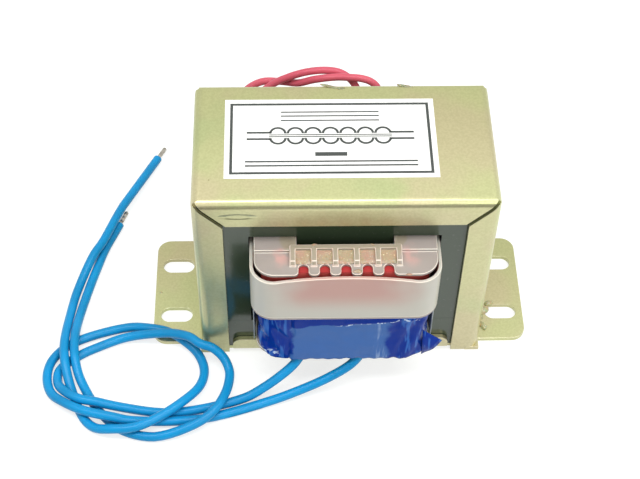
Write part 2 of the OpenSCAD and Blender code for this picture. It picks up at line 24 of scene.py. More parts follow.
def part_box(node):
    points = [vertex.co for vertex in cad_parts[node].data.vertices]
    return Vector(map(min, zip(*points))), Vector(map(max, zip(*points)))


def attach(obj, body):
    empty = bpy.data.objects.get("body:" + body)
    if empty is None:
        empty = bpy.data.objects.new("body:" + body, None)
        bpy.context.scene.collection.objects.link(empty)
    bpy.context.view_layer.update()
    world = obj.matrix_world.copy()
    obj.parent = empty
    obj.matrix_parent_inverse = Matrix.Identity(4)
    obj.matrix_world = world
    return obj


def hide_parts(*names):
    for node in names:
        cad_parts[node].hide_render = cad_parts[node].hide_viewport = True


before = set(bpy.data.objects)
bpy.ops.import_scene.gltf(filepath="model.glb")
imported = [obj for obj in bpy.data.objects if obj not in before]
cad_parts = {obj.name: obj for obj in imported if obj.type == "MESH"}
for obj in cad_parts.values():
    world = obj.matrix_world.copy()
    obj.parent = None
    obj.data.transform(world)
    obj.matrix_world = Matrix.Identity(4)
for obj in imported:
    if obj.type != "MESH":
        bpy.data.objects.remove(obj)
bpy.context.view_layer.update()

LOG = logging.getLogger("transformer")
MM = 0.001
Triple = tuple[float, float, float]
Route = Sequence[Triple]
Colour = tuple[float, float, float, float]
BLACK: Colour = (0.0, 0.0, 0.0, 1.0)
WHITE: Colour = (1.0, 1.0, 1.0, 1.0)
Socket = bpy.types.NodeSocket


def linear(code: str) -> Colour:
    """Turn an sRGB hex colour such as "C8C88E" into the linear colour that nodes take.

    Args:
        code: Six hexadecimal digits.

    Returns:
        Red, green and blue as linear light, and an alpha of 1.
    """
    shares = (int(code[i : i + 2], 16) / 255 for i in (0, 2, 4))
    red, green, blue = (s / 12.92 if s <= 0.04045 else ((s + 0.055) / 1.055) ** 2.4 for s in shares)
    return red, green, blue, 1.0


def darker(code: str, share: float) -> Colour:
    """Return a share of the light of a hex colour."""
    red, green, blue, _ = linear(code)
    return share * red, share * green, share * blue, 1.0


# ----------------------------------------------------------------------------- finishes


@dataclass(frozen=True)
class Blots:
    """Soft blots: size in millimetres, the noise where they start and are full, and detail."""

    size: float
    start: float
    full: float
    detail: float = 2.0


@dataclass(frozen=True)
class Relief:
    """One layer of uneven skin: width and depth of its waves in millimetres, and detail."""

    size: float
    depth: float
    detail: float = 2.0


def waves(place: Socket, size: float, detail: float = 2.0) -> dict[str, Any]:
    """Return the inputs of soft noise whose blots are about size millimetres across."""
    return {"Vector": place, "Scale": 1 / (size * MM), "Detail": detail}


class Recipe:
    """Node tree of a finish, the floor or the world, emptied and written anew."""

    def __init__(self, owner: bpy.types.Material | bpy.types.World) -> None:
        """Empty the owner's node tree."""
        owner.use_nodes = True
        self.tree = owner.node_tree
        self.tree.nodes.clear()

    @cached_property
    def place(self) -> Socket:
        """Place on the piece, in metres."""
        return self.add("TexCoord")["Object"]

    def add(
        self, kind: str, inputs: Mapping[int | str, Any] | None = None, **settings: Any
    ) -> bpy.types.NodeOutputs:
        """Add a node with its settings and its links.

        Args:
            kind: Class of the node without its "ShaderNode".
            inputs: Input's name or number to a value, a hex colour or the socket that
                feeds it.
            settings: Properties of the node.

        Returns:
            The outputs of the new node.
        """
        node = self.tree.nodes.new("ShaderNode" + kind)
        for name, value in settings.items():
            setattr(node, name, value)
        for name, value in (inputs or {}).items():
            if isinstance(value, Socket):
                self.tree.links.new(value, node.inputs[name])
            else:
                plain = linear(value) if isinstance(value, str) else value
                node.inputs[name].default_value = plain
        return node.outputs

    def blend(self, factor: Socket, low: float, high: float, first: Any, second: Any) -> Socket:
        """Mix two colours where a factor runs from low to high.

        Args:
            factor: Value that steers the mix.
            low: Value at which only the first colour shows.
            high: Value at which only the second colour shows.
            first: Colour, hex colour or the socket that gives it.
            second: Colour, hex colour or the socket that gives it.

        Returns:
            The mixed colour.
        """
        reach = {0: factor, 1: low, 2: high}
        share = self.add("MapRange", reach, interpolation_type="SMOOTHSTEP")[0]
        return self.add("Mix", {0: share, 6: first, 7: second}, data_type="RGBA")[2]

    def graded(
        self, place: Socket, reach: tuple[float, float], first: Any = BLACK, second: Any = WHITE
    ) -> Socket:
        """Mix two colours, or make a mask, along one direction.

        Args:
            place: Place along the direction, in metres.
            reach: Place in millimetres of the first colour's end and of the second's start.
            first: Colour before them.
            second: Colour beyond them.

        Returns:
            The graded colour.
        """
        start, end = (at * MM for at in reach)
        return self.blend(place, start, end, first, second)

    def mottled(self, blots: Blots, first: Any, second: Any, place: Socket | None = None) -> Socket:
        """Mix two colours in soft blots.

        Args:
            blots: Size and sharpness of the blots.
            first: Colour between the blots.
            second: Colour of the blots.
            place: Place on the piece, if it isn't the plain one.

        Returns:
            The mottled colour.
        """
        where = self.place if place is None else place
        spots = self.add("TexNoise", waves(where, blots.size, blots.detail))[0]
        return self.blend(spots, blots.start, blots.full, first, second)

    def relief(
        self, *layers: Relief, place: Socket | None = None, below: Socket | None = None
    ) -> Socket:
        """Lay layers of uneven skin on each other.

        Args:
            layers: Layers from the lowest to the highest.
            place: Place on the piece, if it isn't the plain one.
            below: Normal of what lies below them.

        Returns:
            The normal on top.
        """
        where = self.place if place is None else place
        for layer in layers:
            height = self.add("TexNoise", waves(where, layer.size, layer.detail))[0]
            inputs = {"Height": height, "Distance": layer.depth * MM}
            if below is not None:
                inputs["Normal"] = below
            below = self.add("Bump", inputs)[0]
        return below

    def away(self, place: Socket, middle: Triple, half: Triple) -> Socket:
        """Measure how far a place is from the middle of a patch.

        Args:
            place: Place on the piece.
            middle: Middle of the patch in millimetres.
            half: Half sizes of the patch in millimetres.

        Returns:
            0 in the middle and 1 on the rim.
        """
        moved = tuple(-c / h for c, h in zip(middle, half))
        scaled = tuple(1 / (h * MM) for h in half)
        fitted = self.add("Mapping", {0: place, 1: moved, 3: scaled})[0]
        return self.add("VectorMath", {0: fitted}, operation="LENGTH")[1]


@dataclass(frozen=True)
class Finish:
    """A surface: its name and the way to make its material."""

    name: str

    def material(self) -> bpy.types.Material:
        """Return the material of this finish, made on first use."""
        found = bpy.data.materials.get(self.name)
        if found:
            return found
        material = bpy.data.materials.new(self.name)
        mix = Recipe(material)
        shader = mix.add("BsdfPrincipled", self.looks(mix))[0]
        mix.add("OutputMaterial", {"Surface": shader})
        return material

    def looks(self, mix: Recipe) -> dict[str, Any]:
        """Make the patterns of the finish; each finish does this its own way.

        Args:
            mix: Node tree of the material.

        Returns:
            Name of the shader's input to a value, a hex colour or a socket.
        """
        raise NotImplementedError


@dataclass(frozen=True)
class PassivatedZinc(Finish):
    """Zinc-plated sheet steel with yellow passivation: a satin metal, olive gold with pink and
    green clouds where the film is thicker or thinner. Painted light makes it paler towards the
    front and painted shade darker towards the back. Its flanges have a rubbed tone, the left
    side flange is painted darker as a dark reflection, and the front one has a shallow dent.
    The crystals of the zinc, far finer in truth, are drawn 0.7 mm wide so that they show."""

    gold: str = "BABB88"
    pink: str = "BDB58C"
    green: str = "B2B884"
    rubbed: str = "B9AF90"
    # dull is a painted dark reflection on the left side flange
    dull: str = "7A7460"
    stain: str = "8C8458"
    pinking: Blots = Blots(30.0, 0.42, 0.62, 3.0)
    greening: Blots = Blots(21.0, 0.5, 0.72, 3.0)
    green_shift: Triple = (0.31, 0.17, 0.05)
    flange_y: tuple[float, float] = (23.5, 23.8)
    flange_share: float = 0.4
    dark_reflection_x: tuple[float, float] = (-42.0, -30.0)
    # painted light and shade: the colour is multiplied paler towards the front, darker towards the
    # back
    painted_light_and_shade_y: tuple[float, float] = (-26.0, 24.0)
    painted_light_and_shade: tuple[Colour, Colour] = ((1.13, 1.14, 1.18, 1.0), (0.92, 0.92, 0.9, 1.0))
    salt: tuple[Colour, Colour] = ((0.95, 0.95, 0.93, 1.0), (1.04, 1.04, 1.04, 1.04))
    salting: Blots = Blots(0.7, 0.3, 0.7, 1.0)
    staining: Blots = Blots(2.6, 0.78, 0.84, 1.0)
    rolled_along: Triple = (0.18, 1.0, 0.6)
    rolling: Relief = Relief(3.2, 0.035)
    skin: Relief = Relief(0.9, 0.006)
    dent: Triple = (-31.4, -24.2, 70.1)
    dent_half: Triple = (5.8, 3.0, 1.3)
    dent_floor: float = 0.6
    dent_depth: float = 0.3
    roughness: float = 0.3
    rough_spread: tuple[float, float] = (-0.05, 0.07)

    def looks(self, mix: Recipe) -> dict[str, Any]:
        """Cloud, rub and stain the plating, paint light and shade on it, and roll and dent the
        sheet.
        """
        shifted = mix.add("Mapping", {0: mix.place, 1: self.green_shift})[0]
        warm = mix.mottled(self.pinking, self.gold, self.pink)
        clouded = mix.mottled(self.greening, warm, self.green, shifted)
        across, side = mix.add("SeparateXYZ", {0: mix.place})[:2]
        # the flanges take a rubbed tone, graded on the left into a painted dark reflection
        rubbed_tone_and_dark_reflection = mix.graded(across, self.dark_reflection_x, self.dull, self.rubbed)
        flange = {0: self.flange_share, 6: clouded, 7: rubbed_tone_and_dark_reflection}
        duller = mix.add("Mix", flange, data_type="RGBA")[2]
        out = mix.add("Math", {0: side}, operation="ABSOLUTE")[0]
        colour = mix.graded(out, self.flange_y, clouded, duller)
        # the salt grain is the zinc's own; the second layer is painted light and shade from front
        # to back
        layers = (mix.mottled(self.salting, *self.salt), mix.graded(side, self.painted_light_and_shade_y, *self.painted_light_and_shade))
        for layer in layers:
            inputs = {0: 1.0, 6: colour, 7: layer}
            colour = mix.add("Mix", inputs, data_type="RGBA", blend_type="MULTIPLY")[2]
        drawn = mix.add("Mapping", {0: mix.place, 3: self.rolled_along})[0]
        away = mix.away(mix.place, self.dent, self.dent_half)
        pressed = {
            "Height": mix.add("MapRange", {0: away, 1: self.dent_floor, 2: 1.0})[0],
            "Distance": self.dent_depth * MM,
            "Normal": mix.relief(self.rolling, place=drawn),
        }
        wide = mix.add("TexNoise", waves(mix.place, self.pinking.size, self.pinking.detail))[0]
        low, high = (self.roughness + more for more in self.rough_spread)
        return {
            "Base Color": mix.mottled(self.staining, colour, self.stain),
            "Roughness": mix.add("MapRange", {0: wide, 3: low, 4: high})[0],
            "Normal": mix.relief(self.skin, below=mix.add("Bump", pressed)[0]),
            "Metallic": 0.72,
        }


@dataclass(frozen=True)
class VarnishedCoreSteel(Finish):
    """Silicon steel sheet dipped in clear brown varnish: nearly black and glossy, so that it
    mirrors what stands in front of it. Its dust is drawn 1.1 mm wide so that it shows."""

    body: str = "354230"
    dust: str = "4A5046"
    dusting: Blots = Blots(1.1, 0.66, 0.8)
    skin: Sequence[Relief] = (Relief(9.0, 0.06, 1.0), Relief(0.7, 0.004))

    def looks(self, mix: Recipe) -> dict[str, Any]:
        """Make the varnish glossy, wavy and a little dusty."""
        return {
            "Base Color": mix.mottled(self.dusting, self.body, self.dust),
            "Normal": mix.relief(*self.skin),
            "Roughness": 0.14,
            "IOR": 1.55,
            "Coat Weight": 0.2,
            "Coat Roughness": 0.08,
        }


@dataclass(frozen=True)
class MouldedNylon(Finish):
    """Natural nylon as moulded: milky, slightly see-through, with a soft gloss. The red tape
    behind a thin wall tints it between two heights and smears its corners."""

    milk: str = "BFBCB1"
    tint: str = "BC948A"
    tint_half: float = 28.0
    tint_full: float = 9.0
    tint_low: float = 38.0
    tint_high: float = 52.0
    tint_share: float = 0.92
    wobble: float = 8.0
    wobble_size: float = 14.0
    smear: str = "C39A92"
    smear_at: Triple = (19.2, -29.0, 0.0)
    smear_half: Triple = (4.2, 5.5, 1.0)
    smear_share: float = 0.8
    smear_full: float = 0.2
    patching: Blots = Blots(4.0, 0.3, 0.6)
    skin: Sequence[Relief] = (Relief(6.0, 0.05, 1.0), Relief(1.5, 0.01))
    roughness: float = 0.34

    def looks(self, mix: Recipe) -> dict[str, Any]:
        """Let light into the plastic and tint it where red tape lies behind."""
        x, y, z = mix.add("SeparateXYZ", {0: mix.place})[:3]
        aside = mix.add("Math", {0: x}, operation="ABSOLUTE")[0]
        cloud = mix.add("TexNoise", waves(mix.place, self.wobble_size))[0]
        wobble = mix.add("MapRange", {0: cloud, 3: -self.wobble * MM, 4: self.wobble * MM})[0]
        edge = mix.add("Math", {0: aside, 1: wobble}, operation="ADD")[0]
        sides = {0: edge, 1: self.tint_half * MM, 2: self.tint_full * MM, 4: self.tint_share}
        heights = {0: z, 1: self.tint_low * MM, 2: self.tint_high * MM}
        across, above = (
            mix.add("MapRange", reach, interpolation_type="SMOOTHSTEP")[0]
            for reach in (sides, heights)
        )
        share = mix.add("Math", {0: across, 1: above}, operation="MULTIPLY")[0]
        tinted = mix.blend(share, 0.0, 1.0, self.milk, self.tint)
        flat = mix.add("CombineXYZ", {0: aside, 1: y})[0]
        away = mix.away(flat, self.smear_at, self.smear_half)
        rim = {0: away, 1: 1.0, 2: self.smear_full, 4: self.smear_share}
        near = mix.add("MapRange", rim)[0]
        patches = mix.add("TexNoise", waves(mix.place, self.patching.size))[0]
        reach = {0: patches, 1: self.patching.start, 2: self.patching.full}
        patchy = mix.add("MapRange", reach)[0]
        mask = mix.add("Math", {0: near, 1: patchy}, operation="MULTIPLY")[0]
        return {
            "Base Color": mix.blend(mask, 0.0, 1.0, tinted, self.smear),
            "Normal": mix.relief(*self.skin),
            "Roughness": self.roughness,
            "Subsurface Weight": 0.3,
            "Subsurface Scale": 1.2 * MM,
            "Subsurface Radius": (1.0, 0.8, 0.7),
        }


@dataclass(frozen=True)
class SetResin(Finish):
    """Casting resin that has set in a pocket: honey yellow to pink, glossy, with bubbles."""

    honey: str = "A69376"
    blush: str = "AC8D78"
    bubble: str = "DCCFAC"
    clouding: Blots = Blots(5.0, 0.4, 0.66)
    bubbling: Blots = Blots(0.5, 0.66, 0.76, 1.0)
    skin: Relief = Relief(0.8, 0.16)

    def looks(self, mix: Recipe) -> dict[str, Any]:
        """Cloud the resin, draw its bubbles and roughen its skin."""
        clouded = mix.mottled(self.clouding, self.honey, self.blush)
        return {
            "Base Color": mix.mottled(self.bubbling, clouded, self.bubble),
            "Normal": mix.relief(self.skin),
            "Roughness": 0.16,
            "Subsurface Weight": 0.4,
            "Subsurface Scale": 1.0 * MM,
        }


@dataclass(frozen=True)
class PolyesterTape(Finish):
    """Polyester film tape: a clear deep colour under a mirror-smooth skin with small creases."""

    colour: str = "1B3FA8"
    crease: float = 2.2
    depth: float = 0.05
    gloss: float = 0.07
    clouding: Blots = Blots(8.0, 0.3, 0.7)

    def looks(self, mix: Recipe) -> dict[str, Any]:
        """Crease the skin and keep it glossy."""
        broad = Relief(self.crease * 3, self.depth * 2, 1.0)
        return {
            "Base Color": self.tone(mix),
            "Normal": mix.relief(broad, Relief(self.crease, self.depth, 3.0)),
            "Roughness": 0.12,
            "Specular IOR Level": self.gloss,
        }

    def tone(self, mix: Recipe) -> Socket:
        """Return the film's colour, which is nearly even."""
        return mix.mottled(self.clouding, self.colour, darker(self.colour, 0.8))


@dataclass(frozen=True)
class TapeWithPaintedSheen(PolyesterTape):
    """Blue film tape with a paler, greyer middle where the film stands off the layer below: a
    painted reflection of the pale floor, with painted sheen streaks towards its right end.
    Painted highlights lie on its upper fold, its crumpled lower left corner and its creased ends."""

    # the pale middle colour and its streaks are a painted reflection of the pale floor
    brightened: str = "4068A8"
    sheen_streak: str = "93AACF"
    glint: str = "BDD0EA"
    crease_highlight: str = "3C74C4"
    crease_highlight_share: float = 0.7
    left: tuple[float, float] = (-16.4, -15.4)
    right: tuple[float, float] = (14.5, 12.5)
    milky: tuple[float, float] = (8.5, 12.5)
    sag: tuple[float, float] = (33.1, 32.1)
    slope: float = 0.09
    wander: float = 3.0
    wander_size: float = 7.0
    fold: float = 32.6
    fold_w: float = 0.35
    fold_x: tuple[float, float] = (-4.0, 2.0)
    corner_x: tuple[float, float] = (-19.0, -22.0)
    corner_z: tuple[float, float] = (20.0, 18.0)
    ends: tuple[float, float] = (17.0, 18.0)
    upright: Triple = (1.0, 1.0, 0.12)
    leaning: Triple = (1.0, 1.0, 0.16)
    lean: Triple = (0.0, 0.6, 0.0)
    sheen_streaking: Blots = Blots(1.6, 0.52, 0.7)
    flecking: Blots = Blots(1.5, 0.52, 0.6)
    crease_highlight_spots: Blots = Blots(1.5, 0.5, 0.66)

    def tone(self, mix: Recipe) -> Socket:
        """Return the film's colour: deep at the ends, with a painted pale sheen over the middle."""
        x, _, z = mix.add("SeparateXYZ", {0: mix.place})[:3]
        uneven = mix.add("TexNoise", waves(mix.place, self.wander_size, 3.0))[0]
        wander = mix.add("MapRange", {0: uneven, 3: -self.wander * MM, 4: self.wander * MM})[0]
        across = mix.add("Math", {0: x, 1: wander}, operation="ADD")[0]
        slope = mix.add("Math", {0: x, 1: self.slope}, operation="MULTIPLY")[0]
        height = mix.add("Math", {0: z, 1: slope}, operation="SUBTRACT")[0]
        wavy = mix.add("Math", {0: height, 1: wander}, operation="ADD")[0]
        zone = mix.graded(across, self.left)
        for edge in (mix.graded(across, self.right), mix.graded(wavy, self.sag)):
            zone = mix.add("Math", {0: zone, 1: edge}, operation="MULTIPLY")[0]
        # painted reflection: the pale, streaked sheen over the middle of the tape
        drawn = mix.add("Mapping", {0: mix.place, 3: self.upright})[0]
        milky = mix.mottled(self.sheen_streaking, self.brightened, self.sheen_streak, drawn)
        body = mix.graded(across, self.milky, self.brightened, milky)
        film = mix.add("Mix", {0: zone, 6: self.colour, 7: body}, data_type="RGBA")[2]
        # painted highlights on the creased ends of the tape
        bright = mix.add("Mix", {0: self.creases(mix, x), 6: film, 7: self.crease_highlight}, data_type="RGBA")
        flecks = self.flecks(mix, wavy, x, z)
        return mix.add("Mix", {0: flecks, 6: bright[2], 7: self.glint}, data_type="RGBA")[2]

    def creases(self, mix: Recipe, x: Socket) -> Socket:
        """Draw the painted highlights on the leaning creases at the tape's ends.

        Args:
            mix: Node tree of the material.
            x: Distance to the right of the middle, in metres.

        Returns:
            1 where a painted crease highlight shows.
        """
        aside = mix.add("Math", {0: x}, operation="ABSOLUTE")[0]
        crease_highlight_mask = mix.graded(aside, self.ends)
        drawn = mix.add("Mapping", {0: mix.place, 2: self.lean, 3: self.leaning})[0]
        for share in (mix.mottled(self.crease_highlight_spots, BLACK, WHITE, drawn), self.crease_highlight_share):
            crease_highlight_mask = mix.add("Math", {0: crease_highlight_mask, 1: share}, operation="MULTIPLY")[0]
        return crease_highlight_mask

    def flecks(self, mix: Recipe, wavy: Socket, x: Socket, z: Socket) -> Socket:
        """Strew flecks of light on the upper fold and in the lower left corner.

        Args:
            mix: Node tree of the material.
            wavy: Height that wanders as the fold does, in metres.
            x: Distance to the right of the middle, in metres.
            z: Height in metres.

        Returns:
            1 where a fleck lies.
        """
        line = {0: wavy, 1: self.fold * MM, 2: self.fold_w * MM}
        fold = mix.add("Math", line, operation="COMPARE")[0]
        pairs = (
            (fold, mix.graded(x, self.fold_x)),
            (mix.graded(x, self.corner_x), mix.graded(z, self.corner_z)),
        )
        hem, corner = (
            mix.add("Math", {0: first, 1: second}, operation="MULTIPLY")[0]
            for first, second in pairs
        )
        where = mix.add("Math", {0: hem, 1: corner}, operation="MAXIMUM")[0]
        spots = mix.mottled(self.flecking, BLACK, WHITE)
        return mix.add("Math", {0: where, 1: spots}, operation="MULTIPLY")[0]


@dataclass(frozen=True)
class PolyesterFilm(Finish):
    """Clear polyester film between coil and core: pale, thin and glossy."""

    body: str = "C4CCCC"
    skin: Relief = Relief(4.0, 0.1)

    def looks(self, mix: Recipe) -> dict[str, Any]:
        """Make the film pale and half clear."""
        return {
            "Base Color": self.body,
            "Normal": mix.relief(self.skin),
            "Roughness": 0.2,
            "Transmission Weight": 0.35,
        }


@dataclass(frozen=True)
class EnamelledCopper(Finish):
    """Layers of enamelled copper wire: reddish brown turns that lie side by side. A wave node
    draws one band to each wire at a scale of band over the wire's size."""

    enamel: str = "8A4A2C"
    gap: str = "4A2415"
    wire: float = 0.9
    band: float = 0.314
    groove: float = 0.2

    def looks(self, mix: Recipe) -> dict[str, Any]:
        """Draw the turns as ridges one wire apart."""
        inputs = {"Vector": mix.place, "Scale": self.band / (self.wire * MM)}
        turns = mix.add("TexWave", inputs, bands_direction="Z")["Fac"]
        ridges = {"Height": turns, "Distance": self.groove * MM}
        return {
            "Base Color": mix.blend(turns, 0.1, 0.7, self.gap, self.enamel),
            "Normal": mix.add("Bump", ridges)[0],
            "Metallic": 0.5,
            "Roughness": 0.3,
        }


@dataclass(frozen=True)
class SoftVinyl(Finish):
    """Extruded PVC insulation: even colour, a waxy gloss and slight unevenness along it."""

    colour: str = "118CC5"
    shade: str = "1082B8"
    clouding: Blots = Blots(12.0, 0.35, 0.65, 1.0)
    skin: Relief = Relief(3.0, 0.04)

    def looks(self, mix: Recipe) -> dict[str, Any]:
        """Vary the colour slightly and round off the gloss."""
        return {
            "Base Color": mix.mottled(self.clouding, self.colour, self.shade),
            "Normal": mix.relief(self.skin),
            "Roughness": 0.3,
            "Specular IOR Level": 0.22,
            "Subsurface Weight": 0.08,
            "Subsurface Scale": 0.6 * MM,
        }


@dataclass(frozen=True)
class TinnedStrands(Finish):
    """Copper strands twisted together and dipped in solder: a dull silver metal."""

    tin: str = "B9B4A8"
    dull: str = "8F8A7E"
    clouding: Blots = Blots(1.2, 0.4, 0.7)

    def looks(self, mix: Recipe) -> dict[str, Any]:
        """Mottle the tin."""
        colour = mix.mottled(self.clouding, self.tin, self.dull)
        return {"Base Color": colour, "Metallic": 1.0, "Roughness": 0.3}


@dataclass(frozen=True)
class TiePlastic(Finish):
    """Plastic-covered tie: white, matt and ribbed."""

    body: str = "E6E5E0"
    ribs: Relief = Relief(0.6, 0.08)

    def looks(self, mix: Recipe) -> dict[str, Any]:
        """Emboss the tie."""
        return {"Base Color": self.body, "Normal": mix.relief(self.ribs), "Roughness": 0.5}


@dataclass(frozen=True)
class PlainPaint(Finish):
    """One printing ink or paint: smooth, and a touch uneven as printed ink is."""

    colour: str
    roughness: float
    clouding: Blots = Blots(3.0, 0.3, 0.7)

    def looks(self, mix: Recipe) -> dict[str, Any]:
        """Lay the ink on."""
        colour = mix.mottled(self.clouding, self.colour, darker(self.colour, 0.93))
        return {"Base Color": colour, "Roughness": self.roughness}


ZINC = PassivatedZinc("Yellow passivated zinc")
# the eased edges of the sheet are paler: rubbed, and a painted highlight along each edge
ZINC_EDGE_HIGHLIGHT = PassivatedZinc(
    "Rubbed and highlighted zinc edge", gold="E6E4C4", pink="E6DCC4", green="DCDFBC", roughness=0.24
)
CORE = VarnishedCoreSteel("Varnished silicon steel")
BOBBIN = MouldedNylon(
    "Natural nylon", milk="9C938D", tint="988E7B", tint_half=18.5, tint_full=16.5,
    tint_low=57.2, tint_high=58.0,
)  # fmt: skip
COVER = MouldedNylon("Natural nylon over red tape")
# pale rims on the eased edges of the mouldings: a painted highlight
NYLON_EDGE_HIGHLIGHT = MouldedNylon("Natural nylon edge", milk="DDD7CA", tint="E4D2C4", roughness=0.25)
RESIN = SetResin("Set casting resin")
DROP = SetResin("Clear varnish drop", honey="ABA97F", blush="B0AC84", bubble="D8D6B4")
CRUST = SetResin("Dried varnish crust", honey="7C7E5E", blush="96926E", bubble="B8B490")
# painted light: the red is paler than the tape's own, to lift tape that lies in shade under the
# flanges
RED_TAPE = PolyesterTape("Red polyester tape", colour="F86E68", crease=9.0, depth=0.03)
RED_TURN = PolyesterTape("Red film tape edge", colour="AC3A3A", crease=9.0)
BLUE_TAPE = TapeWithPaintedSheen("Blue polyester tape", colour="082F8C")
FILM = PolyesterFilm("Clear polyester film")
WIRE = EnamelledCopper("Enamelled copper wire")
BLUE_PVC = SoftVinyl("Blue PVC")
RED_PVC = SoftVinyl("Red PVC", colour="CE606E", shade="C25464")
TIN = TinnedStrands("Tinned copper")
TIE = TiePlastic("White tie")
PAPER = PlainPaint("White coated paper", "EEEEEA", 0.4)
INK = PlainPaint("Black ink", "3A3F3C", 0.45)
CARD = PlainPaint("Dark card", "101010", 0.9)


# ------------------------------------------------------------------------------- pieces


def hang(
    piece: bpy.types.Object,
    finishes: Sequence[Finish],
    replaces: Sequence[str] = (),
) -> bpy.types.Object:
    """Link a new piece, dress it and let it ride on the body.

    Args:
        piece: Object of the piece.
        finishes: Finishes in the order of the faces' material numbers.
        replaces: Construction nodes for which the piece stands.

    Returns:
        The same object.
    """
    bpy.context.scene.collection.objects.link(piece)
    for finish in finishes:
        piece.data.materials.append(finish.material())
    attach(piece, "root")
    if replaces:
        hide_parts(*replaces)
    LOG.info("%s", piece.name)
    return piece


class MeshPiece:
    """A piece that is modelled in a bmesh and then hung on the frame."""

    def __init__(self, name: str, unit: float = MM) -> None:
        """Start an empty piece.

        Args:
            name: Name of the piece.
            unit: Length in metres of the unit in which it is modelled.
        """
        self.name = name
        self.unit = unit
        self.bm = bmesh.new()

    def block(self, size: Triple | Vector, place: Triple | Vector) -> None:
        """Add a block.

        Args:
            size: Width, depth and height.
            place: Middle of the block.
        """
        corners = bmesh.ops.create_cube(self.bm, size=1.0)["verts"]
        bmesh.ops.scale(self.bm, verts=corners, vec=size)
        bmesh.ops.translate(self.bm, verts=corners, vec=place)

    def finish(
        self,
        slot: str,
        finishes: Sequence[Finish],
        replaces: Sequence[str] = (),
        smooth: float = 35.0,
    ) -> bpy.types.Object:
        """Close the bmesh and hang the piece.

        Args:
            slot: Not used.
            finishes: Finishes in the order of the faces' material numbers.
            replaces: Construction nodes for which the piece stands.
            smooth: Angle in degrees above which an edge stays sharp.

        Returns:
            The new object.
        """
        mesh = bpy.data.meshes.new(self.name)
        bmesh.ops.scale(self.bm, verts=self.bm.verts, vec=(self.unit,) * 3)
        bmesh.ops.recalc_face_normals(self.bm, faces=self.bm.faces)
        self.bm.to_mesh(mesh)
        self.bm.free()
        mesh.shade_smooth()
        mesh.set_sharp_from_angle(angle=math.radians(smooth))
        return hang(bpy.data.objects.new(self.name, mesh), finishes, replaces)


def dress(node: str, finish: Finish) -> None:
    """Give a construction node its finish.

    Args:
        node: Construction node, whose mesh stays as it is.
        finish: Its finish.
    """
    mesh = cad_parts[node].data
    mesh.materials.clear()
    mesh.materials.append(finish.material())
    LOG.info("%s in %s", node, finish.name)


def eased(node: str, name: str, slot: str, finishes: Sequence[Finish], width: float) -> None:
    """Stand a copy of a construction node with eased edges in its place.

    Args:
        node: Construction node.
        name: Name of the new piece.
        slot: Material slot of the record.
        finishes: Finish of the faces and the paler finish of the eased edges, a painted highlight.
        width: Width of the easing in millimetres.
    """
    sharp, flat, joined = 35.0, 0.5, 0.002 * MM
    piece = MeshPiece(name, 1.0)
    bm = piece.bm
    bm.from_mesh(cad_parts[node].data)
    bmesh.ops.remove_doubles(bm, verts=bm.verts, dist=joined)
    bmesh.ops.dissolve_limit(bm, angle_limit=math.radians(flat), verts=bm.verts, edges=bm.edges)
    made = piece.finish(slot, finishes, [node], smooth=sharp)
    bevel = made.modifiers.new("Eased edges", "BEVEL")
    bevel.width = width * MM
    bevel.segments = 2
    bevel.limit_method = "ANGLE"
    bevel.angle_limit = math.radians(sharp)
    # the eased edges take the last finish, whose paler colour is a painted highlight
    bevel.material = len(finishes) - 1
    bevel.use_clamp_overlap = True


# -------------------------------------------------------------------------------- leads


class Line:
    """Smooth line through points, with a straight first and last stretch."""

    def __init__(self, route: Route, lowest: float) -> None:
        """Keep the points in metres.

        Args:
            route: Points in millimetres.
            lowest: Height in millimetres below which the line doesn't go.
        """
        self.points = [Vector(p) * MM for p in route]
        self.lowest = lowest * MM

    def speed(self, i: int) -> Vector:
        """Return the line's direction and speed at inner point i."""
        before, here, after = self.points[i - 1 : i + 2]
        u, v = math.sqrt((here - before).length), math.sqrt((after - here).length)
        return (here - before) / u - (after - before) / (u + v) + (after - here) / v

    def between(self, i: int, s: float) -> Vector:
        """Find a place on the line.

        Args:
            i: Number of the point before it.
            s: Share of the way from that point to the next.

        Returns:
            The place in metres.
        """
        p, q = self.points[i], self.points[i + 1]
        if i in (0, len(self.points) - 2):
            return p.lerp(q, s)
        h = math.sqrt((q - p).length)
        place = (
            (2 * s**3 - 3 * s**2 + 1) * p
            + (s**3 - 2 * s**2 + s) * h * self.speed(i)
            + (3 * s**2 - 2 * s**3) * q
            + (s**3 - s**2) * h * self.speed(i + 1)
        )
        return Vector((place.x, place.y, max(place.z, self.lowest)))

    def drawn(self, steps: int) -> list[Vector]:
        """Draw the line as short straight pieces.

        Args:
            steps: Number of pieces in each stretch.

        Returns:
            Their ends in metres.
        """
        stretches = range(len(self.points) - 1)
        inner = [self.between(i, k / steps) for i in stretches for k in range(steps)]
        return inner + [self.points[-1]]


